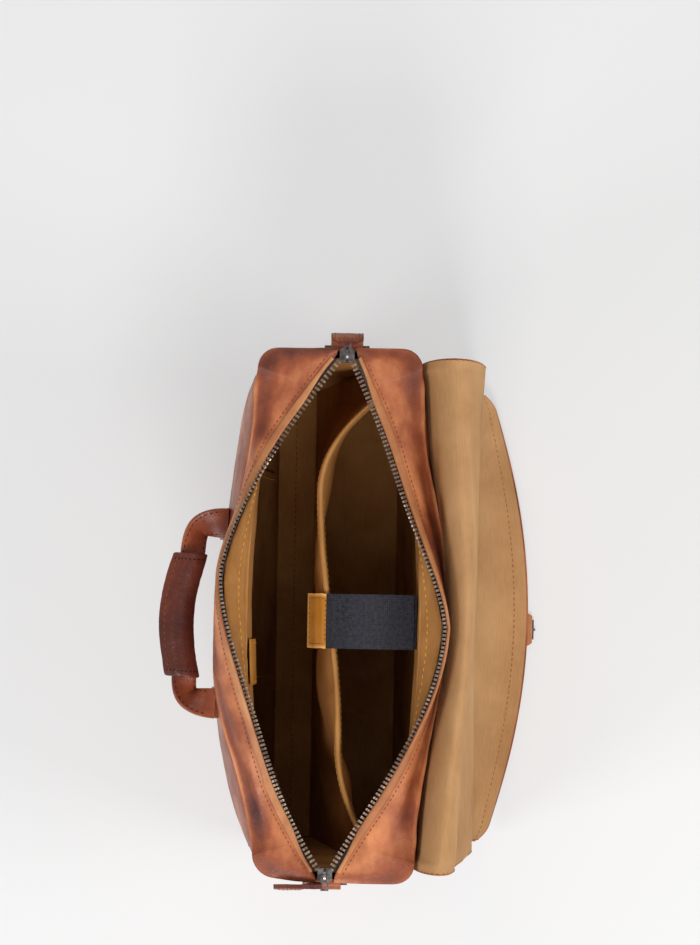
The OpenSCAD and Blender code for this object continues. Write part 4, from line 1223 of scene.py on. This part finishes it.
def tab_piece(end, centre, across, half_width=12.0):
    """A stitched leather pull tab; centre and across give its middle line and its cross direction."""
    name, body, length = ENDS[end] + "_tab_leather", ENDS[end] + "_pull", TAB_LENGTH[end]
    ss, ws = np.linspace(0, length, 34), np.linspace(-1, 1, 26)
    cut = [half_width * min(1.0, 0.55 + s / 9, 0.5 + (length - s) / 9) for s in ss]
    P = facing(np.array([[centre(s) + across(s) * w * c for s, c in zip(ss, cut)] for w in ws]), end, 0, 0.4)
    N = normals_of(P)
    rows, cols = range(len(ws)), range(len(ss))
    tone = grid(lambda i, j: 0.12 * ripple(P[i, j, 1] / 8, P[i, j, 2] / 8, P[i, j, 0] / 8)
                - 0.3 * hump(rim_distance(i, j, N), 0, 1.2), rows, cols)
    P = P + N * grid(lambda i, j: [0.25 * ripple(i / 6, j / 8, length)], rows, cols)
    fit(slab(name, P, TAB_THICK, M_LEATHER, body, tone, angle=55), "body_leather", body + "_tab")
    stitches(name + "_stitches", "body_leather", border(P, 3), border(N, 3), M_THREAD_DARK, body, 1.9, 1.1, 0.3)


def build_pull_tabs():
    """The left tab curls down over the end; the right one lies forward along the end wall, leaning a little."""
    def left_centre(s):
        slopes = [math.radians(lerp(30, 88, min(1, t / 16))) for t in np.linspace(0, s, 20)]
        run, drop = np.mean([math.cos(b) for b in slopes]) * s, np.mean([math.sin(b) for b in slopes]) * s
        return TAB_ROOT[-1] - [run, 0, drop]

    def right_centre(s):
        return TAB_ROOT[1] + [TAB_SHIFT * step(4, 18, s), -s, -TAB_DROP * s / TAB_LENGTH[1]]

    def right_across(s):
        lean = TAB_LEAN * step(4, 18, s)
        return np.array([math.sin(lean), 0, -math.cos(lean)])

    tab_piece(-1, left_centre, lambda s: np.array([0.0, 1.0, 0.0]))
    tab_piece(1, right_centre, right_across)


for node, width, material, body, slot in (
        ("left_ring_loop", 0.5, M_LEATHER, "bag", "body_leather"),
        ("right_ring_loop", 0.5, M_LEATHER, "bag", "body_leather"),
        ("handle_anchors", 0.5, M_STRAP, "bag", "body_leather"),
        ("clasp_tab", 0.6, M_BAND, "flap_lower", "body_leather"),
        ("strap_anchor", 0.4, M_WEBBING, "bag", "webbing"),
        ("loop_patch", 0.3, M_WEBBING, "bag", "webbing"),
        ("base_panel", 0.6, M_LEATHER, "bag", "body_leather")):
    soften(node, width, material, body, slot)
for end in ENDS:
    end_cloth(end)
floor_cloth()
build_pull_tabs()


# ---- floor, light and camera, all in metres
FLOOR_HALF = 6.0
FLOOR_GLOW = 0.385
WORLD_LIGHT = 0.32
LIGHT_TARGET = Vector((0, 0, 0.2))
LIGHTS = {  # name: place, side of its square, watts
    "near": ((1.9, 0.1, 2.2), 0.9, 44),
    "key": ((1.1, -1.8, 1.7), 0.9, 24),
    "fill": ((0.4, 2.0, 1.6), 1.1, 32),
    "far": ((-1.9, -0.5, 1.8), 0.9, 8),
    "overhead": ((0.1, 0.0, 2.9), 1.2, 3),
}
CAMERA_HEIGHT = 2.152
CAMERA_ANGLE = math.radians(21.3)
CAMERA_TURN = math.radians(91.0)
CAMERA_SHIFT = (0.0149, 0.151)


def build_stage():
    mesh = bpy.data.meshes.new("floor")
    corners = [(x * FLOOR_HALF, y * FLOOR_HALF, 0) for x, y in ((-1, -1), (1, -1), (1, 1), (-1, 1))]
    mesh.from_pydata(corners, [], [(0, 1, 2, 3)])
    pale = Nodes("pale_floor")
    pale.set(pale.shader, Base_Color=(0.4, 0.4, 0.4, 1), Roughness=0.9, Specular_IOR_Level=0.1,
             Emission_Color=(1, 1, 1, 1), Emission_Strength=FLOOR_GLOW)
    mesh.materials.append(pale.material)
    add_object("floor", mesh)


def build_lights():
    world = bpy.data.worlds.new("studio")
    world.use_nodes = True
    background = world.node_tree.nodes["Background"]
    background.inputs["Color"].default_value = (1, 1, 1, 1)
    background.inputs["Strength"].default_value = WORLD_LIGHT
    bpy.context.scene.world = world
    for name, (place, size, power) in LIGHTS.items():
        light = bpy.data.lights.new(name, "AREA")
        light.shape = "RECTANGLE"
        light.size = light.size_y = size
        light.energy = power
        obj = add_object(name, light)
        obj.location = place
        obj.rotation_euler = (LIGHT_TARGET - Vector(place)).to_track_quat("-Z", "Y").to_euler()


def build_camera():
    """Straight above the bag, turned a little, with the bag low in the frame as in the view."""
    camera = bpy.data.cameras.new("camera")
    camera.sensor_fit = "AUTO"
    camera.angle = CAMERA_ANGLE
    camera.shift_x, camera.shift_y = CAMERA_SHIFT
    camera.clip_end = 50
    obj = add_object("camera", camera)
    obj.location = (0, 0, CAMERA_HEIGHT)
    obj.rotation_euler = (0, 0, CAMERA_TURN)
    bpy.context.scene.camera = obj
    # Plain tone curve, so that the colours of the leather stay as they are mixed.
    bpy.context.scene.view_settings.view_transform = "Standard"


build_stage()
build_lights()
build_camera()
